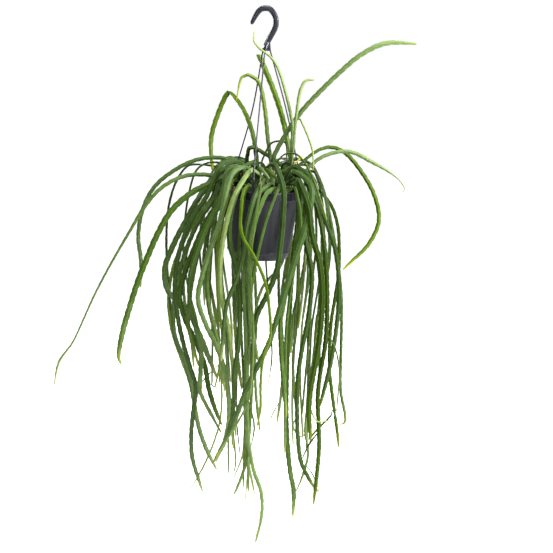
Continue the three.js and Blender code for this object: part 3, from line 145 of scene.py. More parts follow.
class HangerLook(PropertyGroup):
    """Sizes and colour of the hanger"""
    thickness: length("Hook thickness", "Thickness of the hook in its own plane", 10.4 * MM)
    depth: length("Hook depth", "Thickness of the hook across its plane", 9 * MM)
    leg: length("Leg radius", "Radius of a leg", 1.35 * MM)
    strap_thickness: length("Strap thickness", "Thickness of the strap", 1.5 * MM)
    skin: colour("Plastic", "The hanger's plastic", (0.012, 0.013, 0.019))


class SoilLook(PropertyGroup):
    """Sizes and colour of the soil"""
    drop: length("Drop", "Depth of the soil's edge under the rim", 14 * MM)
    mound: length("Mound", "How much higher the soil is in the middle", 4 * MM)
    lumps: length("Lumps", "Unevenness of the soil's top", 2.4 * MM)
    crumb: length("Crumb", "Size of the larger crumbs of bark", 2.6 * MM)
    density: FloatProperty(name="Crumbs", description="Crumbs on a square metre", default=42000, min=0)
    seed: IntProperty(name="Seed", description="Seed of the crumbs' places", default=3)
    skin: colour("Soil", "Moist potting mix", (0.030, 0.019, 0.012))
    bark: colour("Bark", "Crumbs of bark", (0.075, 0.042, 0.024))


class StageLook(PropertyGroup):
    """The floor, the lights and the camera"""
    floor_gap: length("Floor gap", "Height of the lowest tip above the floor", 160 * MM)
    floor: colour("Floor", "The pale floor", (0.86, 0.86, 0.86))
    light: FloatProperty(name="Light", description="Strength of the light from all round", default=0.27,
                         min=0)
    key: power("Right lamp", "Power of the soft lamp on the right", 132)
    side: power("Left lamp", "Power of the soft lamp on the left", 15)
    top: power("Top lamp", "Power of the soft lamp overhead", 62)
    back: power("Back lamp", "Power of the soft lamp behind", 45)
    lens: FloatProperty(name="Lens", description="Focal length of the camera in millimetres", default=57.26,
                        min=1)
    eye: FloatVectorProperty(name="Eye", description="Place of the camera", subtype="TRANSLATION",
                             default=(0.0199, -1.7, -0.1602))
    tilt: FloatProperty(name="Tilt", description="How far the camera looks down", subtype="ANGLE",
                        default=math.radians(11.4))


# What several pieces need

def bounded(value, low=0, high=1):
    return max(low, min(high, value))


def ellipse(wide, deep, count):
    """Points in even turns round an ellipse, as many as are asked for"""
    turns = (2 * math.pi * step / count for step in range(count))
    return [(wide * math.cos(turn), deep * math.sin(turn)) for turn in turns]


def bearing_ways(bearing):
    """The level ways outwards and sideways at a bearing"""
    out = Vector((math.sin(bearing), -math.cos(bearing), 0))
    return out, Vector((-out.y, out.x, 0))


def new_piece(name, data):
    """An object at the origin"""
    piece = bpy.data.objects.new(name, data)
    bpy.context.scene.collection.objects.link(piece)
    return piece


def to_mesh(name, solid):
    """A worked solid as a mesh"""
    mesh = bpy.data.meshes.new(name)
    solid.to_mesh(mesh)
    solid.free()
    return mesh


def solid_piece(name, solid):
    """A worked solid as an object at the origin"""
    return new_piece(name, to_mesh(name, solid))


def keep_as_mesh(piece, **options):
    """Keep what a piece's modifiers make of it as its plain mesh"""
    bpy.context.view_layer.update()
    graph = bpy.context.evaluated_depsgraph_get()
    made = bpy.data.meshes.new_from_object(piece.evaluated_get(graph), depsgraph=graph, **options)
    if not made.polygons:
        raise RuntimeError("nothing was made for " + piece.name)
    piece.modifiers.clear()
    made.name = piece.name
    piece.data = made


def smooth_by_angle(mesh, angle):
    """Shade a mesh smooth but for its edges sharper than an angle in degrees"""
    mesh.shade_smooth()
    mesh.set_sharp_from_angle(angle=math.radians(angle))


def settle(piece, slot, *replaced):
    """Let a finished piece ride on the one body, and stand for the solids that it replaces"""
    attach(piece, ROOT)
    if replaced:
        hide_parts(*replaced)


# Reading the stems off the frame's solids. In a solid, a stem is a ribbon of four-cornered rings: two
# edge corners across its width and two rib corners on its faces, with a point at its tip.

WELD = 0.002 * MM
THICKEST_RIB = 2.7 * MM
WIDEST_STEM = 14.5 * MM
WIDEST_SHOOT = 2.6 * MM
FLATNESS = 0.03 * MM

# A ring's diagonals meet squarer than this cosine, and no further apart than this share of its width.
SQUARENESS = 0.05
OFF_MIDDLE = 0.16

# Where a ring's diagonals differ by less than this factor, its links tell which is its width.
CLEARLY_WIDER = 1.4

# A ribbon whose end is this close to its last ring was cut across.
CUT_END = 1.0 * MM

# A cutting: how deep it stands in the soil, how high it may rise, and how near its axis its top lies
CUTTING_DEPTH = 30 * MM
HIGHEST_CUTTING = 75 * MM
NEAR_AXIS = 1.15

# Stretches of one stem: the longest gap between them, and how much they may bend and differ there
LONGEST_GAP = 125 * MM
MOST_BEND = 2.2
MOST_UNLIKE = 0.45

# Where a stem grows from: how much a turn counts against a place, the points tried in the cutting and
# their distance from its ends, the start of another stem that is left out, and how much nearer another
# stem must be than the cutting for the stem to be its shoot
LINE_STEP = 3 * MM
TURN_COST = 2.5
SPOTS = 12
FOOT_CLEAR = 4 * MM
TOP_CLEAR = 2 * MM
POINTS_LEFT_OUT = 4
SHOOT_BIAS = 0.8
SHOOT_GAIN = 12 * MM


class Ring:
    """A cross-section of a stem: its middle, the way its width lies, half its width and thickness, and
    the way it faces"""

    def __init__(self, middle, across, half, thick, normal):
        self.middle = middle
        self.across = across
        self.half = half
        self.thick = thick
        self.normal = normal


class Stem:
    """A stem's rings from root to tip, the point of its tip, the point that it grows from, and whether
    that is on another stem"""

    def __init__(self, rings, tip):
        self.rings = rings
        self.tip = tip
        self.root = None
        self.shoot = False

    def way_down(self):
        """The way along the stem at its lowest ring, towards its root"""
        above = self.rings[1].middle if len(self.rings) > 1 else self.tip
        return (self.rings[0].middle - above).normalized()


class Cutting:
    """A cutting read back from its solid: its buried foot, the middle of its cut top, and its stems"""

    def __init__(self, foot, top, stems):
        self.foot = foot
        self.top = top
        self.stems = stems
        self.axis = (top - foot.middle).normalized()
        self.height = (top - foot.middle).length


def mates(corner):
    """The corners that an edge joins to this one"""
    return [edge.other_vert(corner) for edge in corner.link_edges]


def links(corner, ring):
    return sum(1 for mate in mates(corner) if mate in ring)


def middle_of(ring):
    return sum((corner.co for corner in ring), Vector()) / len(ring)


def diagonals(ring):
    return ring[0].co - ring[2].co, ring[1].co - ring[3].co


def normal_of(ring):
    first, second = diagonals(ring)
    return first.cross(second).normalized()


def longer_diagonal(ring):
    first, second = diagonals(ring)
    return 0 if first.length > second.length else 1


def is_cross_section(a, b, c, d):
    """Whether four corners lie flat, with the middle of one diagonal on the other, at a stem's size"""
    for wide, thin in (((a, c), (b, d)), ((b, d), (a, c))):
        width = wide[0].co - wide[1].co
        rib = thin[0].co - thin[1].co
        if width.length > WIDEST_STEM or rib.length > THICKEST_RIB:
            continue
        offset = (wide[0].co + wide[1].co - thin[0].co - thin[1].co) / 2
        aside = offset - offset.project(width)
        square = abs(width.normalized().dot(rib.normalized())) < SQUARENESS
        if square and aside.length < FLATNESS and offset.length < OFF_MIDDLE * width.length:
            return True
    return False


def find_rings(solid):
    """All cross-sections that a solid has kept whole"""
    rings = []
    taken = set()
    for corner in solid.verts:
        later = [mate for mate in mates(corner) if mate.index > corner.index]
        pairs = [(left, right) for left in later for right in later if left.index < right.index]
        for left, right in pairs:
            shared = set(mates(left)) & set(mates(right))
            for opposite in sorted(shared, key=lambda mate: mate.index):
                ring = (corner, left, opposite, right)
                if opposite.index <= corner.index or taken & set(ring):
                    continue
                if is_cross_section(*ring):
                    rings.append(ring)
                    taken.update(ring)
    return rings


def linked_rings(rings):
    """For each ring, the rings that edges join it to, at most one on each side of it"""
    owner = {corner: number for number, ring in enumerate(rings) for corner in ring}
    result = []
    for number, ring in enumerate(rings):
        counts = {}
        for corner in ring:
            for mate in mates(corner):
                other = owner.get(mate, number)
                if other != number:
                    counts[other] = counts.get(other, 0) + 1
        sides = {}
        for other in sorted(counts, key=lambda key: (-counts[key], key)):
            way = middle_of(rings[other]) - middle_of(ring)
            side = way.dot(normal_of(ring)) > 0
            if counts[other] > 2 and side not in sides:
                sides[side] = other
        result.append(set(sides.values()))
    return [{other for other in near if number in result[other]} for number, near in enumerate(result)]


def chains_of(rings):
    """Rows of rings, each joined to the next, in either direction"""
    near = linked_rings(rings)
    seen = set()
    chains = []
    for start in range(len(rings)):
        if start in seen or len(near[start]) > 1:
            continue
        chain = []
        following = [start]
        while following:
            chain.append(following[0])
            seen.add(following[0])
            following = [other for other in sorted(near[chain[-1]]) if other not in seen]
        chains.append([rings[number] for number in chain])
    return chains


def rises(chain):
    """Whether a chain runs from root to tip: each stretch's diagonals leave its lower ring's edge
    corners, which are the ones further apart."""
    ring = max(chain[:-1], key=lambda ring: max(span.length for span in diagonals(ring)))
    following = chain[chain.index(ring) + 1]
    edge = longer_diagonal(ring)
    return links(ring[edge], following) > links(ring[1 - edge], following)


def measured(chain):
    """The rings of a chain that runs from root to tip, measured"""
    result = []
    for number, ring in enumerate(chain):
        spans = diagonals(ring)
        edge = longer_diagonal(ring)
        if max(span.length for span in spans) < CLEARLY_WIDER * min(span.length for span in spans):
            if number + 1 < len(chain):
                edge = 0 if links(ring[0], chain[number + 1]) > links(ring[1], chain[number + 1]) else 1
            elif number > 0:
                edge = 0 if links(ring[0], chain[number - 1]) < links(ring[1], chain[number - 1]) else 1
        across = spans[edge]
        if result and across.dot(result[-1].across) < 0:
            across.negate()
        middle = (ring[1 - edge].co + ring[3 - edge].co) / 2
        result.append(Ring(middle, across.normalized(), across.length / 2, spans[1 - edge].length / 2,
                           normal_of(ring)))
    return result


def apexes_of(rings):
    """The points that close a ribbon, each by the first corner of the ring that it closes"""
    result = {}
    for ring in rings:
        shared = set(mates(ring[0]))
        for corner in ring[1:]:
            shared &= set(mates(corner))
        for apex in shared:
            result[ring[0]] = apex.co.copy()
    return result


def top_of(solid, foot):
    """The middle of a cutting's cut top, from the solid's highest corner close above the foot"""
    axis = foot.normal if foot.normal.z > 0 else -foot.normal
    best = 0
    for corner in solid.verts:
        offset = corner.co - foot.middle
        height = offset.dot(axis)
        if (offset - axis * height).length < NEAR_AXIS * foot.half and height < HIGHEST_CUTTING:
            best = max(best, height)
    return foot.middle + axis * best


def joined(stems, loose):
    """Stems with the stretches below a gap in their rings put back on, and those left without a tip"""
    for rings in sorted(loose, key=lambda rings: -len(rings)):
        best = None
        for stem in stems:
            gap = stem.rings[0].middle - rings[-1].middle
            way = (rings[-1].middle - rings[-2].middle).normalized()
            bend = way.angle(gap) + stem.way_down().angle(-gap)
            alike = abs(stem.rings[0].half - rings[-1].half) < MOST_UNLIKE * rings[-1].half
            if alike and gap.length < LONGEST_GAP and bend < MOST_BEND and (not best or bend < best[0]):
                best = (bend, stem)
        if best:
            best[1].rings = rings + best[1].rings
        else:
            end = rings[-1].middle * 2 - rings[-2].middle
            stems.append(Stem(rings, end))
    return stems


def line_of(stem):
    """Points every few millimetres along a stem"""
    corners = [ring.middle for ring in stem.rings] + [stem.tip]
    points = []
    for start, end in zip(corners, corners[1:]):
        steps = max(1, int((end - start).length / LINE_STEP))
        points += [start.lerp(end, step / steps) for step in range(steps)]
    return points


def meeting(stem, points):
    """How little the point that a stem grows from suits it, and that point, out of several"""
    start = stem.rings[0].middle
    best = None
    for point in points:
        way = point - start
        cost = way.length * (1 + TURN_COST * way.angle(stem.way_down(), 0) ** 2)
        if best is None or cost < best[0]:
            best = (cost, point)
    return best


def rooted(cutting):
    """Give each stem its root: a point in its cutting, or in the stem that it branches from"""
    low = CUTTING_DEPTH + FOOT_CLEAR
    high = cutting.height - TOP_CLEAR
    spots = [low]
    if cutting.height > low:
        spots = [low + (high - low) * step / SPOTS for step in range(SPOTS + 1)]
    in_cutting = [cutting.foot.middle + cutting.axis * spot for spot in spots]
    for stem in cutting.stems:
        cost, root = meeting(stem, in_cutting)
        broad = stem.rings[len(stem.rings) // 2].half > WIDEST_SHOOT
        for other in cutting.stems:
            if broad or other is stem or len(other.rings) < len(stem.rings) or other.shoot:
                continue
            found = meeting(stem, line_of(other)[POINTS_LEFT_OUT:])
            if found and found[0] < SHOOT_BIAS * cost and found[0] < cost - SHOOT_GAIN:
                cost, root = found
                stem.shoot = True
        stem.root = root
    return cutting


def read_cutting(name):
    """A cutting's solid, read back"""
    solid = bmesh.new()
    solid.from_mesh(frame["nodes"][name].data)
    bmesh.ops.remove_doubles(solid, verts=solid.verts, dist=WELD)
    solid.verts.index_update()
    solid.verts.ensure_lookup_table()
    rings = find_rings(solid)
    apexes = apexes_of(rings)
    ends = []
    stems = []
    loose = []
    for chain in chains_of(rings):
        closed = {}
        for ring in (chain[0], chain[-1]):
            if ring[0] in apexes:
                closed[ring[0]] = (apexes[ring[0]] - middle_of(ring)).length
        if any(gap < CUT_END for gap in closed.values()):
            ends += [measured([ring])[0] for ring in (chain[0], chain[-1])
                     if closed.get(ring[0], 1) < CUT_END]
        elif closed:
            side = chain if chain[-1][0] in closed else chain[::-1]
            stems.append(Stem(measured(side), apexes[side[-1][0]]))
        elif len(chain) > 1:
            loose.append(measured(chain if rises(chain) else chain[::-1]))
    foot = min(ends, key=lambda ring: ring.middle.z)
    top = max(ends, key=lambda ring: ring.middle.z).middle
    if top.z - foot.middle.z < CUTTING_DEPTH:
        top = top_of(solid, foot)
    solid.free()
    return rooted(Cutting(foot, top, joined(stems, loose)))


# Building node trees, for geometry and for materials

# The most that a strewn ball is turned by about each axis, and how the nodes are spread out
TUMBLE = (6.3, 6.3, 6.3)
COLUMN = 6
SPACING = (220, -240)


class Tree:
    """A node tree that is filled from left to right"""

    def __init__(self, tree):
        self.tree = tree
        self.made = 0

    def add(self, kind, inputs=None, **settings):
        """Add a node. Its inputs, by name or number, are set to a value or joined to an output."""
        node = self.tree.nodes.new(kind)
        node.location = (self.made // COLUMN * SPACING[0], self.made % COLUMN * SPACING[1])
        self.made += 1
        for name, value in settings.items():
            setattr(node, name, value)
        for name, value in (inputs or {}).items():
            self.give(node.inputs[name], value)
        return node

    def give(self, socket, value):
        """Set a socket to a value, or join it to an output"""
        if isinstance(value, bpy.types.NodeSocket):
            self.tree.links.new(value, socket)
        else:
            socket.default_value = value

    def math(self, operation, *values, clamp=False):
        return self.add("ShaderNodeMath", dict(enumerate(values)), operation=operation,
                        use_clamp=clamp).outputs[0]

    def plus(self, first, second, clamp=False):
        return self.math("ADD", first, second, clamp=clamp)

    def minus(self, first, second):
        return self.math("SUBTRACT", first, second)

    def times(self, first, *others):
        for other in others:
            first = self.math("MULTIPLY", first, other)
        return first

    def vector(self, operation, *values):
        node = self.add("ShaderNodeVectorMath", dict(enumerate(values)), operation=operation)
        return node.outputs["Value" if operation == "DOT_PRODUCT" else "Vector"]

    def scaled(self, vector, scale):
        return self.add("ShaderNodeVectorMath", {0: vector, "Scale": scale}, operation="SCALE").outputs[0]

    def fitted(self, value, low, high, to_low=0.0, to_high=1.0):
        """A value between two limits, fitted between two others and held there"""
        limits = {0: value, 1: low, 2: high, 3: to_low, 4: to_high}
        return self.add("ShaderNodeMapRange", limits).outputs[0]

    def mixed(self, share, first, second):
        """A mix of two colours"""
        node = self.add("ShaderNodeMix", data_type="RGBA")
        for socket, value in zip((node.inputs[0], node.inputs[6], node.inputs[7]), (share, first, second)):
            self.give(socket, value)
        return node.outputs[2]

    def curve(self, value, points):
        """A value bent by a smooth curve through several points"""
        node = self.add("ShaderNodeFloatCurve", {"Value": value})
        line = node.mapping.curves[0]
        line.points[0].location = points[0]
        line.points[1].location = points[-1]
        for point in points[1:-1]:
            line.points.new(*point)
        node.mapping.update()
        return node.outputs[0]

    def ramp(self, share, *stops):
        """Colours along a scale, each stop a place and a colour"""
        node = self.add("ShaderNodeValToRGB", {0: share})
        elements = node.color_ramp.elements
        while len(elements) < len(stops):
            elements.new(1)
        for element, (place, shade) in zip(elements, stops):
            element.position = place
            element.color = shade
        return node.outputs[0]

    def noise(self, place, scale, detail):
        return self.add("ShaderNodeTexNoise", {"Vector": place, "Scale": scale, "Detail": detail}).outputs[0]

    def drawn(self, kind, low, high, seed):
        """A random value for each point, a number or a vector"""
        slots = (2, 3, 1) if kind == "FLOAT" else (0, 1, 0)
        return self.add("FunctionNodeRandomValue", {slots[0]: low, slots[1]: high, "Seed": seed},
                        data_type=kind).outputs[slots[2]]

    def strewn(self, points, size, seed, **options):
        """Small faceted balls on points, tumbled by chance and made real"""
        ball = self.add("GeometryNodeMeshIcoSphere", {"Radius": 1, "Subdivisions": 1}).outputs["Mesh"]
        turn = self.drawn("FLOAT_VECTOR", (0, 0, 0), TUMBLE, seed)
        turn = self.add("FunctionNodeEulerToRotation", {0: turn}).outputs[0]
        placed = self.add("GeometryNodeInstanceOnPoints", {"Points": points, "Instance": ball,
                                                           "Rotation": turn, "Scale": size, **options})
        return self.add("GeometryNodeRealizeInstances", {0: placed.outputs[0]}).outputs[0]

    def painted(self, geometry, material, **options):
        return self.add("GeometryNodeSetMaterial",
                        {"Geometry": geometry, "Material": material, **options}).outputs[0]


def new_group(name, kind, inputs, outputs):
    """A node group with named inputs and outputs: its tree, and its inputs inside"""
    group = bpy.data.node_groups.new(name, kind)
    for title, sort, default in inputs:
        socket = group.interface.new_socket(name=title, in_out="INPUT", socket_type="NodeSocket" + sort)
        if default is not None:
            socket.default_value = default
    for title, sort in outputs:
        group.interface.new_socket(name=title, in_out="OUTPUT", socket_type="NodeSocket" + sort)
    tree = Tree(group)
    return tree, tree.add("NodeGroupInput").outputs


def apply_nodes(piece, group, values):
    """Run a geometry tree on a piece, with inputs by name, and keep its result as a plain mesh"""
    modifier = piece.modifiers.new(group.name, "NODES")
    modifier.node_group = group
    for item in group.interface.items_tree:
        if item.in_out == "INPUT" and item.name in values:
            modifier[item.identifier] = values[item.name]
    keep_as_mesh(piece, preserve_all_data_layers=True)


# The stems: one geometry tree turns lines with widths into keeled, lobed ribbons

# How far an edge draws in along a lobe, and how thick a stem is from its midrib out to its edge
NOTCH_CURVE = ((0, 1), (0.125, 0.66), (0.25, 0.42), (0.375, 0.25), (0.5, 0.12), (0.7, 0.02), (0.87, 0),
               (1, 1))
KEEL_CURVE = ((0, 1), (0.12, 0.88), (0.5, 0.50), (0.866, 0.17), (1, 0))
MIDRIB_REACH = 0.02

# The rounded tip: its length in half widths, the power of its outline, and what that is taken from,
# which is a trace over one so that the very tip keeps some width
TIP_LENGTH = 3.0
TIP_POWER = 1.9
TIP_WHOLE = 1.0004

# The waves of the edges: their beat a lobe, how far the stems' ages spread them, and how far one edge
# runs ahead of the other
WAVE_BEAT = 2.3
WAVE_SPREAD = 40
WAVE_LEAD = 1.3

# An end that was cut across slants over its last stretch, by this share of the way out from the middle.
SLANT_REACH = 8 * MM
SLANT = 0.45

# The cushions: their least and greatest size, how far they stand out, and the lobes left bare at an end
CUSHION_SIZES = (0.75, 1.25)
CUSHION_OUT = 0.3
BARE_LOBES = 0.45


def stem_tree():
    """The geometry tree of the stems. It reads lines whose points hold half the width, half the
    thickness and the way that the width lies, and the cuttings' own stubs, which it passes through."""
    tree, given = new_group("Trailing stems", "GeometryNodeTree", (
        ("Geometry", "Geometry", None), ("Lobe", "Float", 0.016), ("Sections a lobe", "Int", 8),
        ("Corners", "Int", 12), ("Notch", "Float", 0.2), ("Wave", "Float", 0.0004),
        ("Cushion", "Float", 0.0004), ("Seed", "Int", 7), ("Skin", "Material", None),
        ("Wool", "Material", None), ("Healed cut", "Material", None)), (("Geometry", "Geometry"),))

    def named(name, kind="FLOAT"):
        return tree.add("GeometryNodeInputNamedAttribute", {"Name": name}, data_type=kind).outputs[0]

    def stored(geometry, name, value, kind="FLOAT", domain="POINT"):
        inputs = {"Geometry": geometry, "Name": name, "Value": value}
        return tree.add("GeometryNodeStoreNamedAttribute", inputs, data_type=kind, domain=domain).outputs[0]

    def along(name, distance):
        """A distance along one of the ways that are kept on the points"""
        return tree.scaled(named(name, "FLOAT_VECTOR"), distance)

    def resampled(count):
        """The lines cut into equal steps, with the place and the ways of each point kept on it"""
        made = tree.add("GeometryNodeResampleCurve", {"Curve": line, "Count": tree.plus(count, 1)}).outputs[0]
        centre = tree.add("GeometryNodeInputPosition").outputs[0]
        onward = tree.add("GeometryNodeInputTangent").outputs[0]
        across = named("across", "FLOAT_VECTOR")
        lean = tree.scaled(onward, tree.vector("DOT_PRODUCT", across, onward))
        outward = tree.vector("NORMALIZE", tree.vector("SUBTRACT", across, lean))
        facing = tree.vector("CROSS_PRODUCT", onward, outward)
        for name, value in (("centre", centre), ("outward", outward), ("facing", facing), ("onward", onward)):
            made = stored(made, name, value, "FLOAT_VECTOR")
        share = tree.add("GeometryNodeSplineParameter").outputs["Factor"]
        made = stored(made, "run", tree.times(share, named("lobes")))
        return stored(made, "to_tip", tree.times(tree.minus(1, share), named("long")))

    def wave_height(side):
        """How far an edge stands out of the stem's plane"""
        beat = tree.plus(tree.times(named("run"), WAVE_BEAT), tree.times(named("age"), WAVE_SPREAD))
        swing = tree.math("SINE", tree.plus(beat, tree.times(side, WAVE_LEAD)))
        return tree.times(swing, given["Wave"])

    # The lines, and the number of lobes on each
    parts = tree.add("GeometryNodeSeparateGeometry",
                     {"Geometry": given["Geometry"], "Selection": named("stub", "BOOLEAN")}, domain="POINT")
    line = tree.add("GeometryNodeMeshToCurve", {"Mesh": parts.outputs["Inverted"]}).outputs[0]
    line = tree.add("GeometryNodeCurveSplineType", {"Curve": line}, spline_type="CATMULL_ROM").outputs[0]
    long = tree.add("GeometryNodeSplineLength").outputs["Length"]
    lobes = tree.math("MAXIMUM", tree.math("ROUND", tree.math("DIVIDE", long, given["Lobe"])), 2)
    line = stored(line, "lobes", lobes, domain="CURVE")
    line = stored(line, "long", long, domain="CURVE")

    # Half the width: full along the stem, and rounded off at the tip
    left = tree.math("DIVIDE", named("to_tip"), tree.times(named("half"), TIP_LENGTH), clamp=True)
    gone = tree.math("POWER", tree.minus(1, left), TIP_POWER)
    end = tree.math("SQRT", tree.minus(TIP_WHOLE, gone))
    half_width = tree.times(named("half"), tree.math("MAXIMUM", end, named("blunt")))

    # The skin: a tube of even corners along each line, whose corners then move to their places
    ribbon = resampled(tree.times(named("lobes"), given["Sections a lobe"]))
    outline = tree.add("GeometryNodeCurvePrimitiveCircle",
                       {"Resolution": given["Corners"], "Radius": 1}, mode="RADIUS").outputs[0]
    outline = stored(outline, "spot", tree.add("GeometryNodeInputPosition").outputs[0], "FLOAT_VECTOR")
    skin = tree.add("GeometryNodeCurveToMesh",
                    {"Curve": ribbon, "Profile Curve": outline, "Fill Caps": True}).outputs[0]
    spot = tree.add("ShaderNodeSeparateXYZ", {0: named("spot", "FLOAT_VECTOR")}).outputs
    reach = tree.math("ABSOLUTE", spot["X"])
    half_lobe = tree.times(tree.math("LESS_THAN", spot["X"], 0), 0.5)
    inset = tree.curve(tree.math("FRACT", tree.plus(named("run"), half_lobe)), NOTCH_CURVE)
    inset = tree.times(inset, given["Notch"], reach)
    aside = tree.times(spot["X"], tree.times(half_width, tree.minus(1, inset)))
    slim = tree.math("DIVIDE", half_width, named("half"))
    keel = tree.times(tree.curve(reach, KEEL_CURVE), tree.math("SIGN", spot["Y"]))
    lift = tree.times(wave_height(tree.math("SIGN", spot["X"])), tree.math("POWER", reach, 2), slim)
    height = tree.plus(tree.times(keel, tree.times(named("thick"), slim)), lift)
    place = tree.vector("ADD", named("centre", "FLOAT_VECTOR"),
                        tree.vector("ADD", along("outward", aside), along("facing", height)))
    near_end = tree.math("SUBTRACT", 1, tree.math("DIVIDE", named("to_tip"), SLANT_REACH), clamp=True)
    slant = tree.times(near_end, named("blunt"), tree.times(aside, SLANT))
    place = tree.vector("ADD", place, along("onward", slant))
    skin = stored(skin, "side", spot["X"])
    on_edges = tree.add("GeometryNodeFieldOnDomain", {0: reach}, data_type="FLOAT", domain="EDGE")
    midrib = tree.math("LESS_THAN", on_edges.outputs[0], MIDRIB_REACH)
    skin = stored(skin, "midrib", midrib, "BOOLEAN", "EDGE")
    skin = tree.add("GeometryNodeSetPosition", {"Geometry": skin, "Position": place}).outputs[0]

    # The cushions: one in each notch, on one edge and then on the other
    beads = resampled(tree.times(named("lobes"), 2))
    order = tree.math("FLOORED_MODULO", tree.add("GeometryNodeSplineParameter").outputs["Index"], 2)
    side = tree.minus(1, tree.times(order, 2))
    edge = tree.times(half_width, tree.minus(1, given["Notch"]))
    edge = tree.plus(edge, tree.times(given["Cushion"], CUSHION_OUT))
    offset = tree.vector("ADD", along("outward", tree.times(edge, side)), along("facing", wave_height(side)))
    beads = tree.add("GeometryNodeSetPosition", {"Geometry": beads, "Offset": offset}).outputs[0]
    half_run = tree.times(named("lobes"), 0.5)
    inner = tree.math("LESS_THAN", tree.math("ABSOLUTE", tree.minus(named("run"), half_run)),
                      tree.minus(half_run, BARE_LOBES))
    size = tree.times(tree.drawn("FLOAT", *CUSHION_SIZES, given["Seed"]), given["Cushion"])
    wool = stored(tree.strewn(beads, size, given["Seed"], Selection=inner), "wool", True, "BOOLEAN")

    joined_up = tree.add("GeometryNodeJoinGeometry")
    for geometry in (parts.outputs["Selection"], wool, skin):
        tree.give(joined_up.inputs[0], geometry)
    whole = tree.add("GeometryNodeSetShadeSmooth", {0: joined_up.outputs[0]}).outputs[0]
    whole = tree.add("GeometryNodeSetShadeSmooth", {0: whole, 1: named("midrib", "BOOLEAN"), 2: False},
                     domain="EDGE").outputs[0]
    whole = tree.add("GeometryNodeRealizeInstances", {0: whole}).outputs[0]
    whole = tree.painted(whole, given["Skin"])
    for mask, material_name in (("wool", "Wool"), ("cut", "Healed cut")):
        whole = tree.painted(whole, given[material_name], Selection=named(mask, "BOOLEAN"))
    tree.add("NodeGroupOutput", {0: whole})
    return tree.tree


# The tone of each cutting's stems, in the order of their tips from left to right, from 0, old and dark,
# to 9, young and yellowish. The tones are partly painted light and shade: high arcs paler for the light on
# them, stems deep in the crown darker for its shade.
STEM_TONES = {
    "cutting_01": "14", "cutting_02": "110", "cutting_03": "221", "cutting_04": "3", "cutting_05": "437",
    "cutting_06": "33", "cutting_07": "602", "cutting_08": "533", "cutting_09": "1", "cutting_10": "34",
    "cutting_11": "3", "cutting_12": "464", "cutting_13": "66", "cutting_14": "4", "cutting_15": "70",
    "cutting_16": "344", "cutting_17": "123", "cutting_18": "53", "cutting_19": "3", "cutting_20": "4800",
    "cutting_21": "336", "cutting_22": "4734", "cutting_23": "87", "cutting_24": "423",
    "cutting_25": "3827", "cutting_26": "043", "cutting_27": "23", "cutting_28": "53", "cutting_29": "76",
    "cutting_30": "43", "cutting_31": "5", "cutting_32": "0", "cutting_33": "26", "cutting_34": "316",
    "cutting_35": "2", "cutting_36": "31", "cutting_37": "33", "cutting_38": "210084", "cutting_39": "681",
    "cutting_40": "54", "cutting_41": "493", "cutting_42": "1", "cutting_43": "2", "cutting_44": "348",
    "cutting_45": "84", "cutting_46": "881",
}
TONE_SPREAD = 0.04

# Stems of a livelier, yellower green, and the most that any other stem may have of it
LIVELY = {("cutting_05", 0), ("cutting_07", 0), ("cutting_08", 0), ("cutting_13", 1),
          ("cutting_26", 1), ("cutting_36", 0), ("cutting_36", 1), ("cutting_38", 2), ("cutting_38", 3),
          ("cutting_40", 0), ("cutting_40", 1), ("cutting_41", 0), ("cutting_41", 2), ("cutting_44", 1)}
MOST_LIVELY = 0.45

# The livelier green sets in between these shares of a stem's length.
LIVELY_FROM = 0.1
LIVELY_FULL = 0.35

# The one short leaf of the crown that has yellowed
YELLOWED = {("cutting_20", 1)}

# A stem's thickness against its solid's, its width at its root, and its width and least thickness at
# the very tip
KEEL = 2.1
NECK = 0.42
TIP_WIDTH = 0.42
TIP_THICKNESS = 0.7
BLUNT_END = 3 * MM

# Stems with no more rings than this are the short leaves of the crown, whose tips have little fresh
# growth. Longer stems have more of it the younger they are.
LEAF_RINGS = 5
LEAF_FRESH = 0.12
STEM_FRESH = (0.25, 0.75)

# Young stems, those past this tone, are greener as far up as this share of their length.
YOUNG_TONE = 0.55
GREEN_SHARE = 0.45

# All stems are darker by the crown, a painted shade where they crowd together, and paler towards the tip.
CROWN_PAINTED_SHADE = 0.14
CROWN_SHARE = 0.2
TIP_PALENESS = 0.3

# A cutting's stub: its size at the buried foot, and at depths under the top, over the rim of the cut
# and into it. Its faces from this ring on are the healed cut.
STUB_CORNERS = 20
STUB_FOOT = 0.86
STUB_TOP = ((3.4 * MM, 1.0), (1.3 * MM, 1.04), (0.5 * MM, 1.06), (0, 0.99), (0.25 * MM, 0.84),
            (0.6 * MM, 0.45))
STUB_ROUNDING = 1.25
STUB_TONE = 0.7
CUT_RING = 5
CUT_SLANT = 1.6 * MM
CUT_LEAN = 3 * MM


def is_blunt(stem):
    """Whether a stem was cut across, and so ends close past its last ring instead of in a tip"""
    return (stem.tip - stem.rings[-1].middle).length < BLUNT_END


def stem_points(stem):
    """The points of a stem's line: place, half width, half thickness and the way the width lies"""
    first = stem.rings[0]
    last = stem.rings[-1]
    end = 1 if is_blunt(stem) else TIP_WIDTH
    points = [(stem.root, first.half * NECK, first.thick * KEEL, first.across)]
    points += [(ring.middle, ring.half, ring.thick * KEEL, ring.across) for ring in stem.rings]
    points.append((stem.tip, last.half * end, last.thick * KEEL * max(end, TIP_THICKNESS), last.across))
    return points


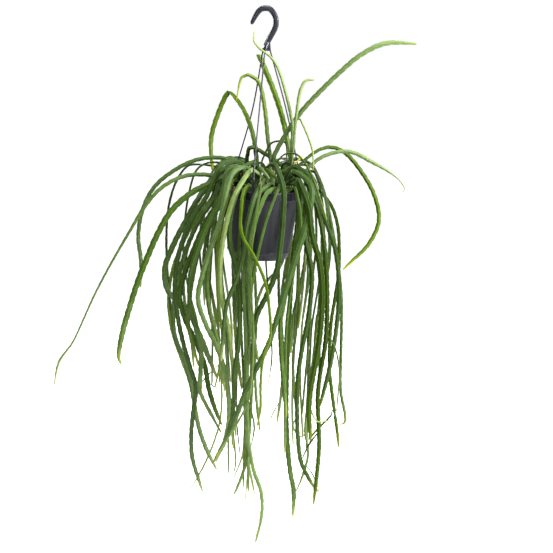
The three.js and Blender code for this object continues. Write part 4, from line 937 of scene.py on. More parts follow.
def stub_rings(cutting):
    """The cutting's own piece of old stem, as rings from its buried foot to the rim of its cut top and
    into it. Each corner is a place and its share of the way aside."""
    foot, axis, height = cutting.foot, cutting.axis, cutting.height
    across = (foot.across - axis * foot.across.dot(axis)).normalized()
    deep = axis.cross(across)
    lean = CUT_LEAN * deep.y
    levels = [(0, STUB_FOOT), (CUTTING_DEPTH, 1.0)] + [(height - under, size) for under, size in STUB_TOP]
    rings = []
    for level, size in levels:
        rise = bounded((level - CUTTING_DEPTH) / (height - CUTTING_DEPTH))
        ring = []
        for wide, turn in ellipse(1, 1, STUB_CORNERS):
            lens = math.copysign(abs(turn) ** STUB_ROUNDING, turn)
            place = foot.middle + across * foot.half * size * wide + deep * foot.thick * size * lens
            ring.append((place + axis * (level + rise * size * (CUT_SLANT * wide + lean * lens)), wide))
        rings.append(ring)
    return rings


def lighter(share, tone):
    """How much paler a stem is at a share of its length, with the painted shade by the crown taken off"""
    by_root = max(0, tone - YOUNG_TONE) * (1 - bounded(share / GREEN_SHARE))
    painted_crown_shade = CROWN_PAINTED_SHADE * (1 - bounded(share / CROWN_SHARE))
    by_tip = TIP_PALENESS * bounded((share - 0.5) / 0.5) ** 1.5
    return by_tip - by_root - painted_crown_shade


def cutting_lines(name, chance):
    """A mesh of a cutting's stub and of the lines of its stems, with what the tree reads on each point"""
    cutting = read_cutting(name)
    places = []
    edges = []
    faces = []
    values = {key: [] for key in ("half", "thick", "tone", "lively", "yellowed", "age", "blunt", "fresh",
                                  "to_tip", "run", "side")}
    across = []
    stub = []

    def put(place, way, is_stub, **given):
        places.append(place)
        across.extend(way)
        stub.append(is_stub)
        for key, row in values.items():
            row.append(given.get(key, 0))
        return len(places) - 1

    # The skin takes a stub for old stem that is far from a tip and from a notch.
    rings = stub_rings(cutting)
    for ring in rings:
        for place, wide in ring:
            put(place, UP, True, tone=STUB_TONE, age=chance.random(), to_tip=0.3, run=0.5, side=wide)
    count = STUB_CORNERS
    faces.append(tuple(reversed(range(count))))
    for low in range(0, (len(rings) - 1) * count, count):
        for corner in range(count):
            after = (corner + 1) % count
            faces.append((low + corner, low + after, low + count + after, low + count + corner))
    faces.append(tuple(range((len(rings) - 1) * count, len(rings) * count)))
    cut = [number > CUT_RING * count for number in range(len(faces))]

    lively_rise = LIVELY_FULL - LIVELY_FROM
    tones = STEM_TONES[name]
    if len(tones) != len(cutting.stems):
        raise RuntimeError(name + " has " + str(len(cutting.stems)) + " stems")
    for order, stem in enumerate(sorted(cutting.stems, key=lambda stem: stem.tip.x)):
        # The stem's listed tone, partly painted light and shade, with a little chance in it
        tone = bounded(int(tones[order]) / 9 + chance.uniform(-TONE_SPREAD, TONE_SPREAD))
        age = chance.random()
        blunt = float(is_blunt(stem))
        drawn = MOST_LIVELY * chance.random()
        lively = 1.0 if (name, order) in LIVELY else drawn
        fresh = LEAF_FRESH if len(stem.rings) <= LEAF_RINGS else STEM_FRESH[0] + STEM_FRESH[1] * age
        points = stem_points(stem)
        for step, (place, half, thick, way) in enumerate(points):
            here = put(place, way, False, half=half, thick=thick, age=age, blunt=blunt,
                       tone=tone + lighter(step / (len(points) - 1), tone), fresh=fresh * (1 - blunt),
                       lively=lively * bounded((step / len(points) - LIVELY_FROM) / lively_rise),
                       yellowed=float((name, order) in YELLOWED))
            if step:
                edges.append((here - 1, here))

    mesh = bpy.data.meshes.new(name + "_lines")
    mesh.from_pydata(places, edges, faces)
    for key, row in values.items():
        mesh.attributes.new(key, "FLOAT", "POINT").data.foreach_set("value", row)
    mesh.attributes.new("across", "FLOAT_VECTOR", "POINT").data.foreach_set("vector", across)
    mesh.attributes.new("stub", "BOOLEAN", "POINT").data.foreach_set("value", stub)
    mesh.attributes.new("cut", "BOOLEAN", "FACE").data.foreach_set("value", cut)
    return mesh


# Materials. Scales of noise and of cells are in cells a metre, and depths of relief in metres.

DUST = (0.30, 0.27, 0.23, 1)
BLACKISH = (0.08, 0.08, 0.08, 1)
WHITE = (1, 1, 1, 1)

# Most of a noise lies between these values.
NOISE_SPAN = (0.3, 0.7)
FLECKS_FINER = 9

# The streaks in moulded plastic, drawn out along its height, and what wear and dust do to it
STREAK_SCALE = 160.0
STREAK_STRETCH = (1, 1, 0.06)
WORN_FACTOR = 1.5
WORN_LIFT = 0.004
STREAK_ROUGHNESS = (-0.05, 0.07)
DUST_ROUGHNESS = 0.3

# Dust: its scale, the slopes on which it starts and lies whole, and the noise that lets it through
DUST_SCALE = 220.0
DUST_SLOPES = (0.25, 0.95)
DUST_GAPS = (0.38, 0.68)

# The stems' skin: the places of its four greens on the scale of tones, how much its patches change the
# tone, how much a lobe darkens towards its middle, and how far the midrib and the edges go paler
GREEN_PLACES = (0.02, 0.36, 0.68, 0.98)
UNEVENNESS = 0.28
LOBE_SHADE = 0.24
RIB_REACH = 0.16
RIB_PALENESS = 0.30
EDGE_START = 0.84
EDGE_PALENESS = 0.3

# The fresh growth's length and how fast it fades, and the hue and richness that a plain stem has and
# that a lively one gains
FRESH_LENGTH = 45 * MM
FRESH_FADING = 1.4
PLAIN_HUE = 0.506
LIVELY_HUE = 0.018
PLAIN_RICHNESS = 0.94
LIVELY_RICHNESS = 0.36
SKIN_ROUGHNESS = (0.40, 0.56)
PIT_SCALE = 1400.0
PIT_SHARE = 0.35


def make_mottle():
    """Uneven colour: soft patches with finer flecks in them"""
    tree, given = new_group(
        "Mottle", "ShaderNodeTree",
        (("Place", "Vector", None), ("Patch size", "Float", 0.02), ("Fleck share", "Float", 0.3)),
        (("Patches", "Float"), ("Flecks", "Float")))
    often = tree.math("DIVIDE", 1, given["Patch size"])
    soft = tree.noise(given["Place"], often, 3.0)
    fine = tree.noise(given["Place"], tree.times(often, FLECKS_FINER), 2.0)
    flecks = tree.times(tree.minus(fine, 0.5), given["Fleck share"])
    tree.add("NodeGroupOutput", {0: tree.plus(soft, flecks, clamp=True), 1: fine})


def make_grain():
    """The fine grain of moulded plastic, with faint marks drawn down it"""
    tree, given = new_group(
        "Moulded grain", "ShaderNodeTree", (("Place", "Vector", None), ("Grain size", "Float", 0.0004)),
        (("Height", "Float"), ("Streaks", "Float")))
    grain = tree.noise(given["Place"], tree.math("DIVIDE", 1, given["Grain size"]), 2.0)
    streaks = tree.noise(tree.vector("MULTIPLY", given["Place"], STREAK_STRETCH), STREAK_SCALE, 3.0)
    tree.add("NodeGroupOutput", {0: grain, 1: streaks})


def make_dust():
    """Dust that lies on what faces up"""
    tree, given = new_group("Settled dust", "ShaderNodeTree",
                            (("Place", "Vector", None), ("Amount", "Float", 0.5)), (("Mask", "Float"),))
    up = tree.add("ShaderNodeSeparateXYZ", {0: tree.add("ShaderNodeNewGeometry").outputs["Normal"]})
    lying = tree.fitted(up.outputs["Z"], *DUST_SLOPES)
    spread = tree.fitted(tree.noise(given["Place"], DUST_SCALE, 5.0), *DUST_GAPS)
    tree.add("NodeGroupOutput", {0: tree.times(lying, spread, given["Amount"])})


def shaded(base, factor, lift=0.0):
    """A colour made darker or lighter"""
    return tuple(min(1, value * factor + lift) for value in base[:3]) + (1,)


def material(name, **constants):
    """A new material, some of its surface's inputs set: its tree, its surface and the place on it"""
    made = bpy.data.materials.new(name)
    made.use_nodes = True
    made.node_tree.nodes.clear()
    tree = Tree(made.node_tree)
    surface = tree.add("ShaderNodeBsdfPrincipled",
                       {key.replace("_", " "): value for key, value in constants.items()})
    tree.add("ShaderNodeOutputMaterial", {"Surface": surface.outputs[0]})
    return tree, surface, tree.add("ShaderNodeTexCoord").outputs["Object"]


def grouped(tree, name, inputs):
    """A shared group placed in a material"""
    return tree.add("ShaderNodeGroup", inputs, node_tree=bpy.data.node_groups[name]).outputs


def mottled(tree, place, patch, flecks):
    return grouped(tree, "Mottle", {"Place": place, "Patch size": patch, "Fleck share": flecks})


def bumped(tree, surface, height, distance, strength=1.0):
    bump = tree.add("ShaderNodeBump", {"Height": height, "Distance": distance, "Strength": strength})
    tree.give(surface.inputs["Normal"], bump.outputs[0])


def patchy_material(name, first, second, patch, flecks, depth=None, **constants):
    """A matt material of two colours in patches, whose flecks stand out where it has depth"""
    tree, surface, place = material(name, **constants)
    mottle = mottled(tree, place, patch, flecks)
    tree.give(surface.inputs["Base Color"], tree.mixed(mottle["Patches"], first, second))
    if depth:
        bumped(tree, surface, mottle["Flecks"], depth)
    return tree, surface, place, mottle


def skin_material(look):
    """The stems' skin: its tone, yellower tips, a paler midrib and a fine pitted surface"""
    tree, surface, place = material("stem_skin", Specular_IOR_Level=0.11)

    def kept(name):
        return tree.add("ShaderNodeAttribute", attribute_name=name).outputs["Fac"]

    mottle = mottled(tree, place, patch=0.022, flecks=0.35)
    uneven = tree.times(tree.minus(mottle["Patches"], 0.5), UNEVENNESS)
    # The tone holds painted shade: each stem is darker near its root, by the crown.
    tone = tree.plus(kept("tone"), uneven, clamp=True)
    shade = tree.ramp(tone, *zip(GREEN_PLACES, (look.dark, look.green, look.pale, look.young)))

    # Darker along each lobe, and paler on the midrib and the edges
    lobe = tree.math("PINGPONG", kept("run"), 0.5)
    shade = tree.mixed(tree.times(lobe, LOBE_SHADE), shade, look.dark)
    reach = tree.math("ABSOLUTE", kept("side"))
    shade = tree.mixed(tree.fitted(reach, RIB_REACH, 0.0, to_high=RIB_PALENESS), shade, look.pale)
    shade = tree.mixed(tree.fitted(reach, EDGE_START, 1.0, to_high=EDGE_PALENESS), shade, look.young)

    # Fresh growth at the tip, and a yellower and richer green where a stem is lively
    fresh = tree.math("POWER", tree.fitted(kept("to_tip"), FRESH_LENGTH, 0.0), FRESH_FADING)
    shade = tree.mixed(tree.times(fresh, kept("fresh")), shade, look.tip)
    lively = kept("lively")
    hue = tree.minus(PLAIN_HUE, tree.times(lively, LIVELY_HUE))
    rich = tree.plus(PLAIN_RICHNESS, tree.times(lively, LIVELY_RICHNESS))
    shade = tree.add("ShaderNodeHueSaturation", {"Hue": hue, "Saturation": rich, "Color": shade}).outputs[0]
    tree.give(surface.inputs["Base Color"], tree.mixed(kept("yellowed"), shade, look.yellow))
    tree.give(surface.inputs["Roughness"], tree.fitted(mottle["Flecks"], *NOISE_SPAN, *SKIN_ROUGHNESS))
    pits = tree.add("ShaderNodeTexVoronoi", {"Vector": place, "Scale": PIT_SCALE}).outputs["Distance"]
    height = tree.plus(tree.times(pits, PIT_SHARE), mottle["Flecks"])
    bumped(tree, surface, height, distance=0.00025, strength=0.55)


def plastic_material(name, shade, rough, dusty):
    """Moulded plastic with grain, faint streaks and a little dust"""
    tree, surface, place = material(name, Specular_IOR_Level=0.38)
    grain = grouped(tree, "Moulded grain", {"Place": place, "Grain size": 0.0006})
    dust = grouped(tree, "Settled dust", {"Place": place, "Amount": dusty})["Mask"]
    worn = tree.times(mottled(tree, place, patch=0.05, flecks=0.2)["Patches"], grain["Streaks"])
    skin = tree.mixed(worn, shade, shaded(shade, WORN_FACTOR, WORN_LIFT))
    tree.give(surface.inputs["Base Color"], tree.mixed(dust, skin, DUST))
    patchy = tree.fitted(grain["Streaks"], *NOISE_SPAN, *(rough + change for change in STREAK_ROUGHNESS))
    rougher = tree.plus(patchy, tree.times(dust, DUST_ROUGHNESS), clamp=True)
    tree.give(surface.inputs["Roughness"], rougher)
    bumped(tree, surface, grain["Height"], distance=0.00006, strength=0.5)


def matt_materials(stems, soil, stage):
    """The felt of the cushions, the corky healed cuts, the crumbs of bark, the soil and the floor"""
    patchy_material("cushion_wool", shaded(stems.cushion, 0.5), stems.cushion, patch=0.004, flecks=0.8,
                    depth=0.0002, Roughness=0.9, Sheen_Weight=0.3)
    patchy_material("healed_cut", shaded(stems.cut, 0.62), stems.cut, patch=0.0025, flecks=0.6,
                    depth=0.0003, Roughness=0.75)
    patchy_material("bark_crumbs", shaded(soil.bark, 0.4), soil.bark, patch=0.006, flecks=0.6,
                    depth=0.0006, Roughness=0.85)

    tree, surface, place, mottle = patchy_material(
        "potting_mix", soil.skin, shaded(soil.skin, 3.2), patch=0.009, flecks=0.9, Roughness=0.92)
    lumps = tree.add("ShaderNodeTexVoronoi", {"Vector": place, "Scale": 420.0}).outputs["Distance"]
    bumped(tree, surface, tree.plus(mottle["Flecks"], tree.times(lumps, -0.9)), distance=0.0016)

    # The camera sees the floor white, and the light that it gives off elsewhere is faint.
    tree, surface, place, mottle = patchy_material(
        "pale_floor", shaded(stage.floor, 0.99), stage.floor, patch=0.6, flecks=0.2, Roughness=0.9,
        Emission_Strength=0.9)
    seen = tree.add("ShaderNodeLightPath").outputs["Is Camera Ray"]
    tree.give(surface.inputs["Emission Color"], tree.mixed(seen, BLACKISH, WHITE))


# Solids worked corner by corner, and the pot. Outlines of flat parts are in millimetres.

POT_SECTIONS = 144
POT_SHARP = 32
POT_EASE = 0.6 * MM

# The most of a side that the rounding of a corner takes
EASE_SHARE = 0.45

# The foot ring, as points off the outside of the foot
FOOT_RING = ((-0.8, -1.4), (0.6, -0.9), (0.5, 0.7), (-0.1, 1.3))

# The drain holes in the floor, the first one half a step round
DRAIN_HOLES = 6
DRAIN_RADIUS = 3.5 * MM
DRAIN_CIRCLE = 36 * MM
DRAIN_DRILL = 20 * MM
DRAIN_SIDES = 24

# The lugs on the rim: shields, each with a groove down its face
LUG_STAND_OFF = 3 * MM
LUG_SINK = 1.2 * MM
LUG_OUTLINE = ((-3.6, -15.2), (3.6, -15.2), (7, -6.5), (8, -0.8), (-8, -0.8), (-7, -6.5))
GROOVE_OUTLINE = ((-3.8, -20), (3.8, -20), (3.8, 5), (-3.8, 5))
GROOVE_DEPTH = 1.3 * MM
GROOVE_CLEAR = 4 * MM


def walled(made, rows):
    """Join rows of corners, each to the next, by faces all round. A row may be a single point."""
    count = max(len(row) for row in rows)
    for low, high in zip(rows, rows[1:]):
        for step in range(count):
            after = (step + 1) % count
            corners = (low[step % len(low)], low[after % len(low)], high[after % len(high)],
                       high[step % len(high)])
            made.faces.new(list(dict.fromkeys(corners)))


def turned(profile, sections):
    """A solid turned from a closed profile of radii and heights that starts and ends on the axis"""
    made = bmesh.new()
    rows = []
    for radius, z in profile:
        spots = ellipse(radius, radius, sections) if radius else ((0, 0),)
        rows.append([made.verts.new((x, y, z)) for x, y in spots])
    walled(made, rows)
    bmesh.ops.recalc_face_normals(made, faces=made.faces)
    return made


def prism(outline, start, end, place):
    """A solid with a flat outline, between two depths. The place turns across, depth and up into the
    pot's own frame."""
    made = bmesh.new()
    rows = [[made.verts.new(place(x * MM, depth, z * MM)) for x, z in outline] for depth in (start, end)]
    made.faces.new(rows[0])
    made.faces.new(rows[1])
    walled(made, rows)
    bmesh.ops.recalc_face_normals(made, faces=made.faces)
    return made


def drill(radius, depth, sides, place):
    """A round bar to cut a hole with"""
    bar = bmesh.new()
    bmesh.ops.create_cone(bar, cap_ends=True, segments=sides, radius1=radius, radius2=radius, depth=depth,
                          matrix=place)
    return solid_piece("drill", bar)


def boolean(piece, operation, *tools):
    """Join other solids to a piece, or cut them out of it, and forget them"""
    for tool in tools:
        modifier = piece.modifiers.new("step", "BOOLEAN")
        modifier.operation = operation
        modifier.solver = "EXACT"
        modifier.object = tool
    keep_as_mesh(piece)
    for tool in tools:
        bpy.data.objects.remove(tool)


def eased(profile, reach, steps=4):
    """A profile with each corner between its ends rounded off over a short reach"""
    points = [Vector(point) for point in profile]
    result = [points[0]]
    for before, here, after in zip(points, points[1:], points[2:]):
        back = min(reach, EASE_SHARE * (before - here).length)
        on = min(reach, EASE_SHARE * (after - here).length)
        start = here + (before - here).normalized() * back
        end = here + (after - here).normalized() * on
        for step in range(steps + 1):
            t = step / steps
            result.append(start.lerp(here, t).lerp(here.lerp(end, t), t))
    result.append(points[-1])
    return [tuple(point) for point in result]


def pot_profile(look):
    """The pot's outline from the middle of its floor, down round the foot, up outside and down inside"""
    base_z = -look.height
    inner_base = look.base - 5 * MM
    lip = look.rim - 1.6 * MM
    outside = [(0, base_z + look.floor), (inner_base - 1 * MM, base_z + look.floor), (inner_base, base_z),
               (look.base, base_z)]
    outside += [(look.foot + x * MM, -look.foot_drop + z * MM) for x, z in FOOT_RING]
    outside += [(look.shoulder, -look.band), (look.rim - 0.2 * MM, -look.band - 0.1 * MM),
                (look.rim, -look.band + 0.8 * MM), (look.rim, -1.2 * MM), (lip + 0.6 * MM, 0)]
    inner_rim = look.shoulder - look.wall
    floor_z = base_z + look.floor + look.wall
    inside = [(inner_rim, 0), (inner_rim, -look.band + 0.5 * MM), (look.base, floor_z + 2 * MM),
              (look.base - 3 * MM, floor_z), (0, floor_z)]
    return eased(outside + inside, POT_EASE)


def lug_place(bearing):
    """Where a lug's outline lies, from its way across the rim, outwards, and up"""
    out, sideways = bearing_ways(bearing)
    return lambda across, outwards, up: sideways * across + out * outwards + UP * up


def make_pot(look):
    """The pot with its drain holes and the three lugs on its rim"""
    pot = solid_piece("pot_shell", turned(pot_profile(look), POT_SECTIONS))
    holes = [drill(DRAIN_RADIUS, DRAIN_DRILL, DRAIN_SIDES, Matrix.Translation((x, y, -look.height)))
             for x, y in ellipse(DRAIN_CIRCLE, DRAIN_CIRCLE, 2 * DRAIN_HOLES)[1::2]]
    boolean(pot, "DIFFERENCE", *holes)
    face = look.rim + LUG_STAND_OFF
    lugs = []
    for bearing, _ in LEGS:
        place = lug_place(bearing)
        lug = solid_piece("lug", prism(LUG_OUTLINE, look.rim - LUG_SINK, face, place))
        groove = prism(GROOVE_OUTLINE, face - GROOVE_DEPTH, face + GROOVE_CLEAR, place)
        boolean(lug, "DIFFERENCE", solid_piece("groove", groove))
        lugs.append(lug)
    boolean(pot, "UNION", *lugs)
    smooth_by_angle(pot.data, POT_SHARP)
    pot.data.transform(POT_FRAME)
    return pot


# The hanger: a hook that runs down into a hub, and three legs with straps that clip over the rim.
# Lines, outlines and the hub's corners are in millimetres.

HOOK_LINE = ((-27, -23.4), (-23.6, -16.2), (-20, -9.6), (-14.4, -1.2), (-9, 3.6), (-4, 5.2), (4, 5.2),
             (10, 2), (15.6, -5.5), (18.8, -14.8), (19, -23), (16.2, -32.3), (11.4, -41), (5.6, -51),
             (2, -58), (0, -64))
HOOK_STEP = 1.6 * MM
LINE_PARTS = 24

# Half of the hook's section, across the hook's plane and out from its middle: rounded sides, and a
# raised band along the cheek towards the inner side
HOOK_SHAPE = ((-1.0, 0.22), (-0.9, 0.55), (-0.6, 0.80), (-0.10, 0.84), (0.06, 1.07), (0.48, 1.07),
              (0.63, 0.84), (0.88, 0.56), (1.0, 0.2))

# The share of the hook's length that its rounded tip takes, and how far the tip draws in. Over a longer
# share the hook slims to its least size, a little less so across its plane.
ROUND_SHARE = 0.035
ROUND_DEPTH = 0.7
SLIM_SHARE = 0.22
SLIM_POWER = 0.8
LEAST_SIZE = 0.64
SLIM_ACROSS = 0.6

# The hub: its neck as middle, half width, half depth and level, its corners at each leg as radius, half
# width and level, and the hollows between the legs as radius, level and distance from the axis
HUB_NECK = (3.4, 4.7, 4.2, -54.5)
HUB_CORNERS = ((8.4, 2.3, -65.5), (9.2, 2.0, -71.5))
HUB_HOLLOWS = ((1.15, -67.2, 6.4), (2.0, -72.4, 5.6))
HUB_EDGE = 0.7 * MM
HUB_SHARP = 20
NECK_CORNERS = 12
HOLLOW_DRILL = 6 * MM
HOLLOW_SIDES = 20

# A leg's ends as distance from the axis and level, its neck above its foot, and its spread to the strap
LEG_TOP = (7.6, -68)
LEG_FOOT = (77.8, 17)
LEG_NECK = (-3, 18)
LEG_STEP = 2.4 * MM
LEG_CORNERS = 16
SPREAD_LENGTH = 30 * MM
SPREAD_WIDTH = 1.1
SPREAD_POWER = 1.6
SPREAD_THINNING = 0.35
STRAP_FACE = ((-2.4, -17.6), (2.4, -17.6), (3.5, -9), (3.5, 4), (1.2, 19), (-1.2, 19), (-3.5, 4), (-3.5, -9))
STRAP_RADIUS = 77 * MM
NIB = ((-2, -17.4), (2, -17.4), (2, -15.5), (-2, -15.5))
NIB_RADIUS = 75.1 * MM
NIB_THICKNESS = 2.2 * MM
MOULDING_WELD = 0.02 * MM
MOULDING_SHARP = 38


def smooth_line(points, step):
    """Points at equal steps along a smooth curve through the given ones"""
    path = []
    ends = [points[0] * 2 - points[1]] + list(points) + [points[-1] * 2 - points[-2]]
    for a, b, c, d in zip(ends, ends[1:], ends[2:], ends[3:]):
        for part in range(LINE_PARTS):
            t = part / LINE_PARTS
            path.append(0.5 * (2 * b + (c - a) * t + (2 * a - 5 * b + 4 * c - d) * t * t
                               + (3 * b - a - 3 * c + d) * t ** 3))
    path.append(points[-1])
    total = sum((after - before).length for before, after in zip(path, path[1:]))
    count = max(2, round(total / step))
    result = [path[0]]
    walked = 0
    for before, after in zip(path, path[1:]):
        span = (after - before).length
        while len(result) < count and walked + span >= len(result) * total / count:
            result.append(before.lerp(after, (len(result) * total / count - walked) / span))
        walked += span
    result.append(path[-1])
    return result


def swept(line, side, section):
    """A closed solid along a line. The section gives, for a share of the way along, corner offsets
    along the side direction and along the one square to it and to the line."""
    made = bmesh.new()
    rows = []
    last = len(line) - 1
    for number, place in enumerate(line):
        along = (line[min(number + 1, last)] - line[max(number - 1, 0)]).normalized()
        first = (side - along * side.dot(along)).normalized()
        second = along.cross(first)
        rows.append([made.verts.new(place + first * a + second * b) for a, b in section(number / last)])
    walled(made, rows)
    made.faces.new(rows[0][::-1])
    made.faces.new(rows[-1])
    bmesh.ops.recalc_face_normals(made, faces=made.faces)
    return made


def make_hook(look):
    """The hook, which slims down towards its free tip"""
    half = look.depth / 2
    rise = look.thickness / 2
    outline = [(-x, y) for x, y in HOOK_SHAPE] + [(-x, -y) for x, y in reversed(HOOK_SHAPE)]

    def section(share):
        end = 1 - max(0.0, 1 - share / ROUND_SHARE) ** 2 * ROUND_DEPTH
        slim = LEAST_SIZE + (1 - LEAST_SIZE) * bounded(share / SLIM_SHARE) ** SLIM_POWER
        thin = 1 - SLIM_ACROSS + SLIM_ACROSS * slim
        return [(b * half * end * thin, a * rise * end * slim) for a, b in outline]

    line = smooth_line([Vector((x * MM, 0, z * MM)) for x, z in HOOK_LINE], HOOK_STEP)
    return to_mesh("hook", swept(line, Vector((0, 1, 0)), section))


def rounded(piece, width, angle):
    """Round a piece's sharp edges, and let the rest of it shade smooth"""
    bevel = piece.modifiers.new("Rounded edges", "BEVEL")
    bevel.width = width
    bevel.segments = 3
    bevel.limit_method = "ANGLE"
    bevel.angle_limit = math.radians(angle)
    keep_as_mesh(piece)
    smooth_by_angle(piece.data, angle)


def make_hub():
    """The hub: a wedge from the hook's foot out to the three legs, with a recess and a small arch
    in each side of it"""
    wedge = bmesh.new()
    middle, reach, depth, level = (value * MM for value in HUB_NECK)
    for x, y in ellipse(reach, depth, NECK_CORNERS):
        wedge.verts.new((middle + x, y, level))
    for bearing, _ in LEGS:
        out, sideways = bearing_ways(bearing)
        for radius, width, level in HUB_CORNERS:
            for side in (-width, width):
                wedge.verts.new((out * radius + sideways * side + UP * level) * MM)
    bmesh.ops.convex_hull(wedge, input=wedge.verts)
    bmesh.ops.delete(wedge, geom=[vert for vert in wedge.verts if not vert.link_faces], context="VERTS")
    bmesh.ops.recalc_face_normals(wedge, faces=wedge.faces)
    hub = solid_piece("hub", wedge)
    rounded(hub, HUB_EDGE, HUB_SHARP)
    for number, (bearing, _) in enumerate(LEGS):
        between = bearing + (LEGS[(number + 1) % len(LEGS)][0] - bearing) % (2 * math.pi) / 2
        out = bearing_ways(between)[0]
        turned_out = out.to_track_quat("Z", "Y").to_matrix().to_4x4()
        for radius, level, away in HUB_HOLLOWS:
            place = Matrix.Translation(out * away * MM + UP * level * MM) @ turned_out
            boolean(hub, "DIFFERENCE", drill(radius * MM, HOLLOW_DRILL, HOLLOW_SIDES, place))
    return hub


def make_leg(look, bearing, bow):
    """A leg from the hub to the rim, which widens into its strap"""
    out, sideways = bearing_ways(bearing)
    top = out * LEG_TOP[0] * MM + UP * LEG_TOP[1] * MM
    foot = POT_FRAME @ (out * LEG_FOOT[0] * MM + UP * LEG_FOOT[1] * MM)
    neck = foot + LEG_NECK[0] * MM * out + LEG_NECK[1] * MM * UP
    line = smooth_line([top, top.lerp(neck, 0.5) + out * bow, neck, foot], LEG_STEP)
    total = (len(line) - 1) * LEG_STEP

    def section(share):
        spread = max(0.0, 1 - (1 - share) * total / SPREAD_LENGTH)
        return ellipse(look.leg * (1 + SPREAD_WIDTH * spread ** SPREAD_POWER),
                       look.leg * (1 - SPREAD_THINNING * spread), LEG_CORNERS)

    leg = solid_piece("leg", swept(line, sideways, section))
    place = lug_place(bearing)
    face = prism(STRAP_FACE, STRAP_RADIUS, STRAP_RADIUS + look.strap_thickness, place)
    nib = prism(NIB, NIB_RADIUS, NIB_RADIUS + NIB_THICKNESS, place)
    tools = [solid_piece("strap", face), solid_piece("nib", nib)]
    for tool in tools:
        tool.data.transform(POT_FRAME)
    boolean(leg, "UNION", *tools)
    return leg


def make_hanger(look):
    """The whole hanger. The hook's foot is buried in the hub, which the legs are joined to."""
    hanger = make_hub()
    boolean(hanger, "UNION", *[make_leg(look, bearing, bow) for bearing, bow in LEGS])
    hanger.name = "hanger_moulding"
    whole = bmesh.new()
    whole.from_mesh(hanger.data)
    bmesh.ops.remove_doubles(whole, verts=whole.verts, dist=MOULDING_WELD)
    whole.from_mesh(make_hook(look))
    hanger.data = to_mesh("hanger_moulding", whole)
    smooth_by_angle(hanger.data, MOULDING_SHARP)
    return hanger


# The soil, and the crumbs of bark on it

SOIL_RINGS = 34
SOIL_SECTIONS = 96
SOIL_CLEARANCE = 0.3 * MM
SOIL_SHARP = 60

# Depths under the rim of the soil's sides, how far its bottom edge is eased, and the depth of the floor
SOIL_LEVELS = (40 * MM, 80 * MM)
BOTTOM_EASE = 3 * MM
INSIDE_DEPTH = 128.2 * MM

# The crumbs lie on what is no further than this under the edge of the soil's top. Their least and
# greatest size is given in three ways, against the size of the larger crumbs.
CRUMB_DROP = 5 * MM
CRUMB_LEAST = (0.25, 0.2, 0.12)
CRUMB_MOST = (0.85, 0.6, 0.4)


def inside_radius(depth, look):
    """The pot's inside radius at a depth under the rim"""
    top = look.shoulder - look.wall
    return top + (look.base - top) * bounded(depth / INSIDE_DEPTH)


def soil_height(x, y, look, radius):
    """The soil's top at a place, in the pot's own frame: a low mound with lumps and finer lumps"""
    mound = look.mound * (1 - ((x * x + y * y) ** 0.5 / radius) ** 2)
    wide = x / MM
    deep = y / MM
    lumps = math.sin(0.31 * wide + 1) * math.cos(0.27 * deep) + 0.6 * math.sin(0.13 * wide - 0.55 * deep)
    fine = noise.noise(Vector((wide, deep, 0)) / 7) + 0.5 * noise.noise(Vector((wide, deep, 9)) / 3)
    return -look.drop + mound + look.lumps / 2 * lumps + 0.5 * MM * fine


def make_soil(look, pot):
    """The soil's body, with a lumpy top, resting inside the pot"""
    top_radius = inside_radius(look.drop, pot) - SOIL_CLEARANCE
    made = bmesh.new()
    middle = made.verts.new((0, 0, soil_height(0, 0, look, top_radius)))
    rows = []
    for ring in range(1, SOIL_RINGS + 1):
        radius = top_radius * ring / SOIL_RINGS
        rows.append([made.verts.new((x, y, soil_height(x, y, look, top_radius)))
                     for x, y in ellipse(radius, radius, SOIL_SECTIONS)])
    bottom = pot.height - pot.floor - pot.wall - SOIL_CLEARANCE
    for depth in (*SOIL_LEVELS, bottom - BOTTOM_EASE, bottom):
        radius = inside_radius(depth, pot) - SOIL_CLEARANCE - (BOTTOM_EASE if depth == bottom else 0)
        rows.append([made.verts.new((x, y, -depth)) for x, y in ellipse(radius, radius, SOIL_SECTIONS)])
    for step in range(SOIL_SECTIONS):
        after = (step + 1) % SOIL_SECTIONS
        made.faces.new((middle, rows[0][step], rows[0][after]))
        for low, high in zip(rows, rows[1:]):
            made.faces.new((low[step], high[step], high[after], low[after]))
    made.faces.new(rows[-1][::-1])
    bmesh.ops.recalc_face_normals(made, faces=made.faces)
    soil = solid_piece("soil_body", made)
    soil.data.transform(POT_FRAME)
    smooth_by_angle(soil.data, SOIL_SHARP)
    return soil


def crumb_tree():
    """The geometry tree that scatters crumbs over a sheet of soil"""
    tree, given = new_group("Bark crumbs", "GeometryNodeTree", (
        ("Geometry", "Geometry", None), ("Crumb size", "Float", 0.0026), ("Density", "Float", 40000.0),
        ("Seed", "Int", 3), ("Bark", "Material", None)), (("Geometry", "Geometry"),))
    spots = tree.add("GeometryNodeDistributePointsOnFaces",
                     {"Mesh": given["Geometry"], "Density": given["Density"], "Seed": given["Seed"]},
                     distribute_method="RANDOM").outputs["Points"]
    shape = tree.drawn("FLOAT_VECTOR", CRUMB_LEAST, CRUMB_MOST, tree.plus(given["Seed"], 1))
    crumbs = tree.strewn(spots, tree.scaled(shape, given["Crumb size"]), given["Seed"])
    tree.add("NodeGroupOutput", {0: tree.painted(crumbs, given["Bark"])})
    return tree.tree


def make_crumbs(look, soil):
    """Crumbs of bark scattered over the soil's top"""
    top = bmesh.new()
    top.from_mesh(soil.data)
    level = POT_FRAME @ Vector((0, 0, -look.drop - CRUMB_DROP))
    bmesh.ops.delete(top, geom=[vert for vert in top.verts if vert.co.z < level.z], context="VERTS")
    crumbs = solid_piece("bark_crumbs", top)
    apply_nodes(crumbs, crumb_tree(), {"Crumb size": look.crumb, "Density": look.density,
                                       "Seed": look.seed, "Bark": bpy.data.materials["bark_crumbs"]})
    return crumbs


# The stage

FLOOR_RADIUS = 40

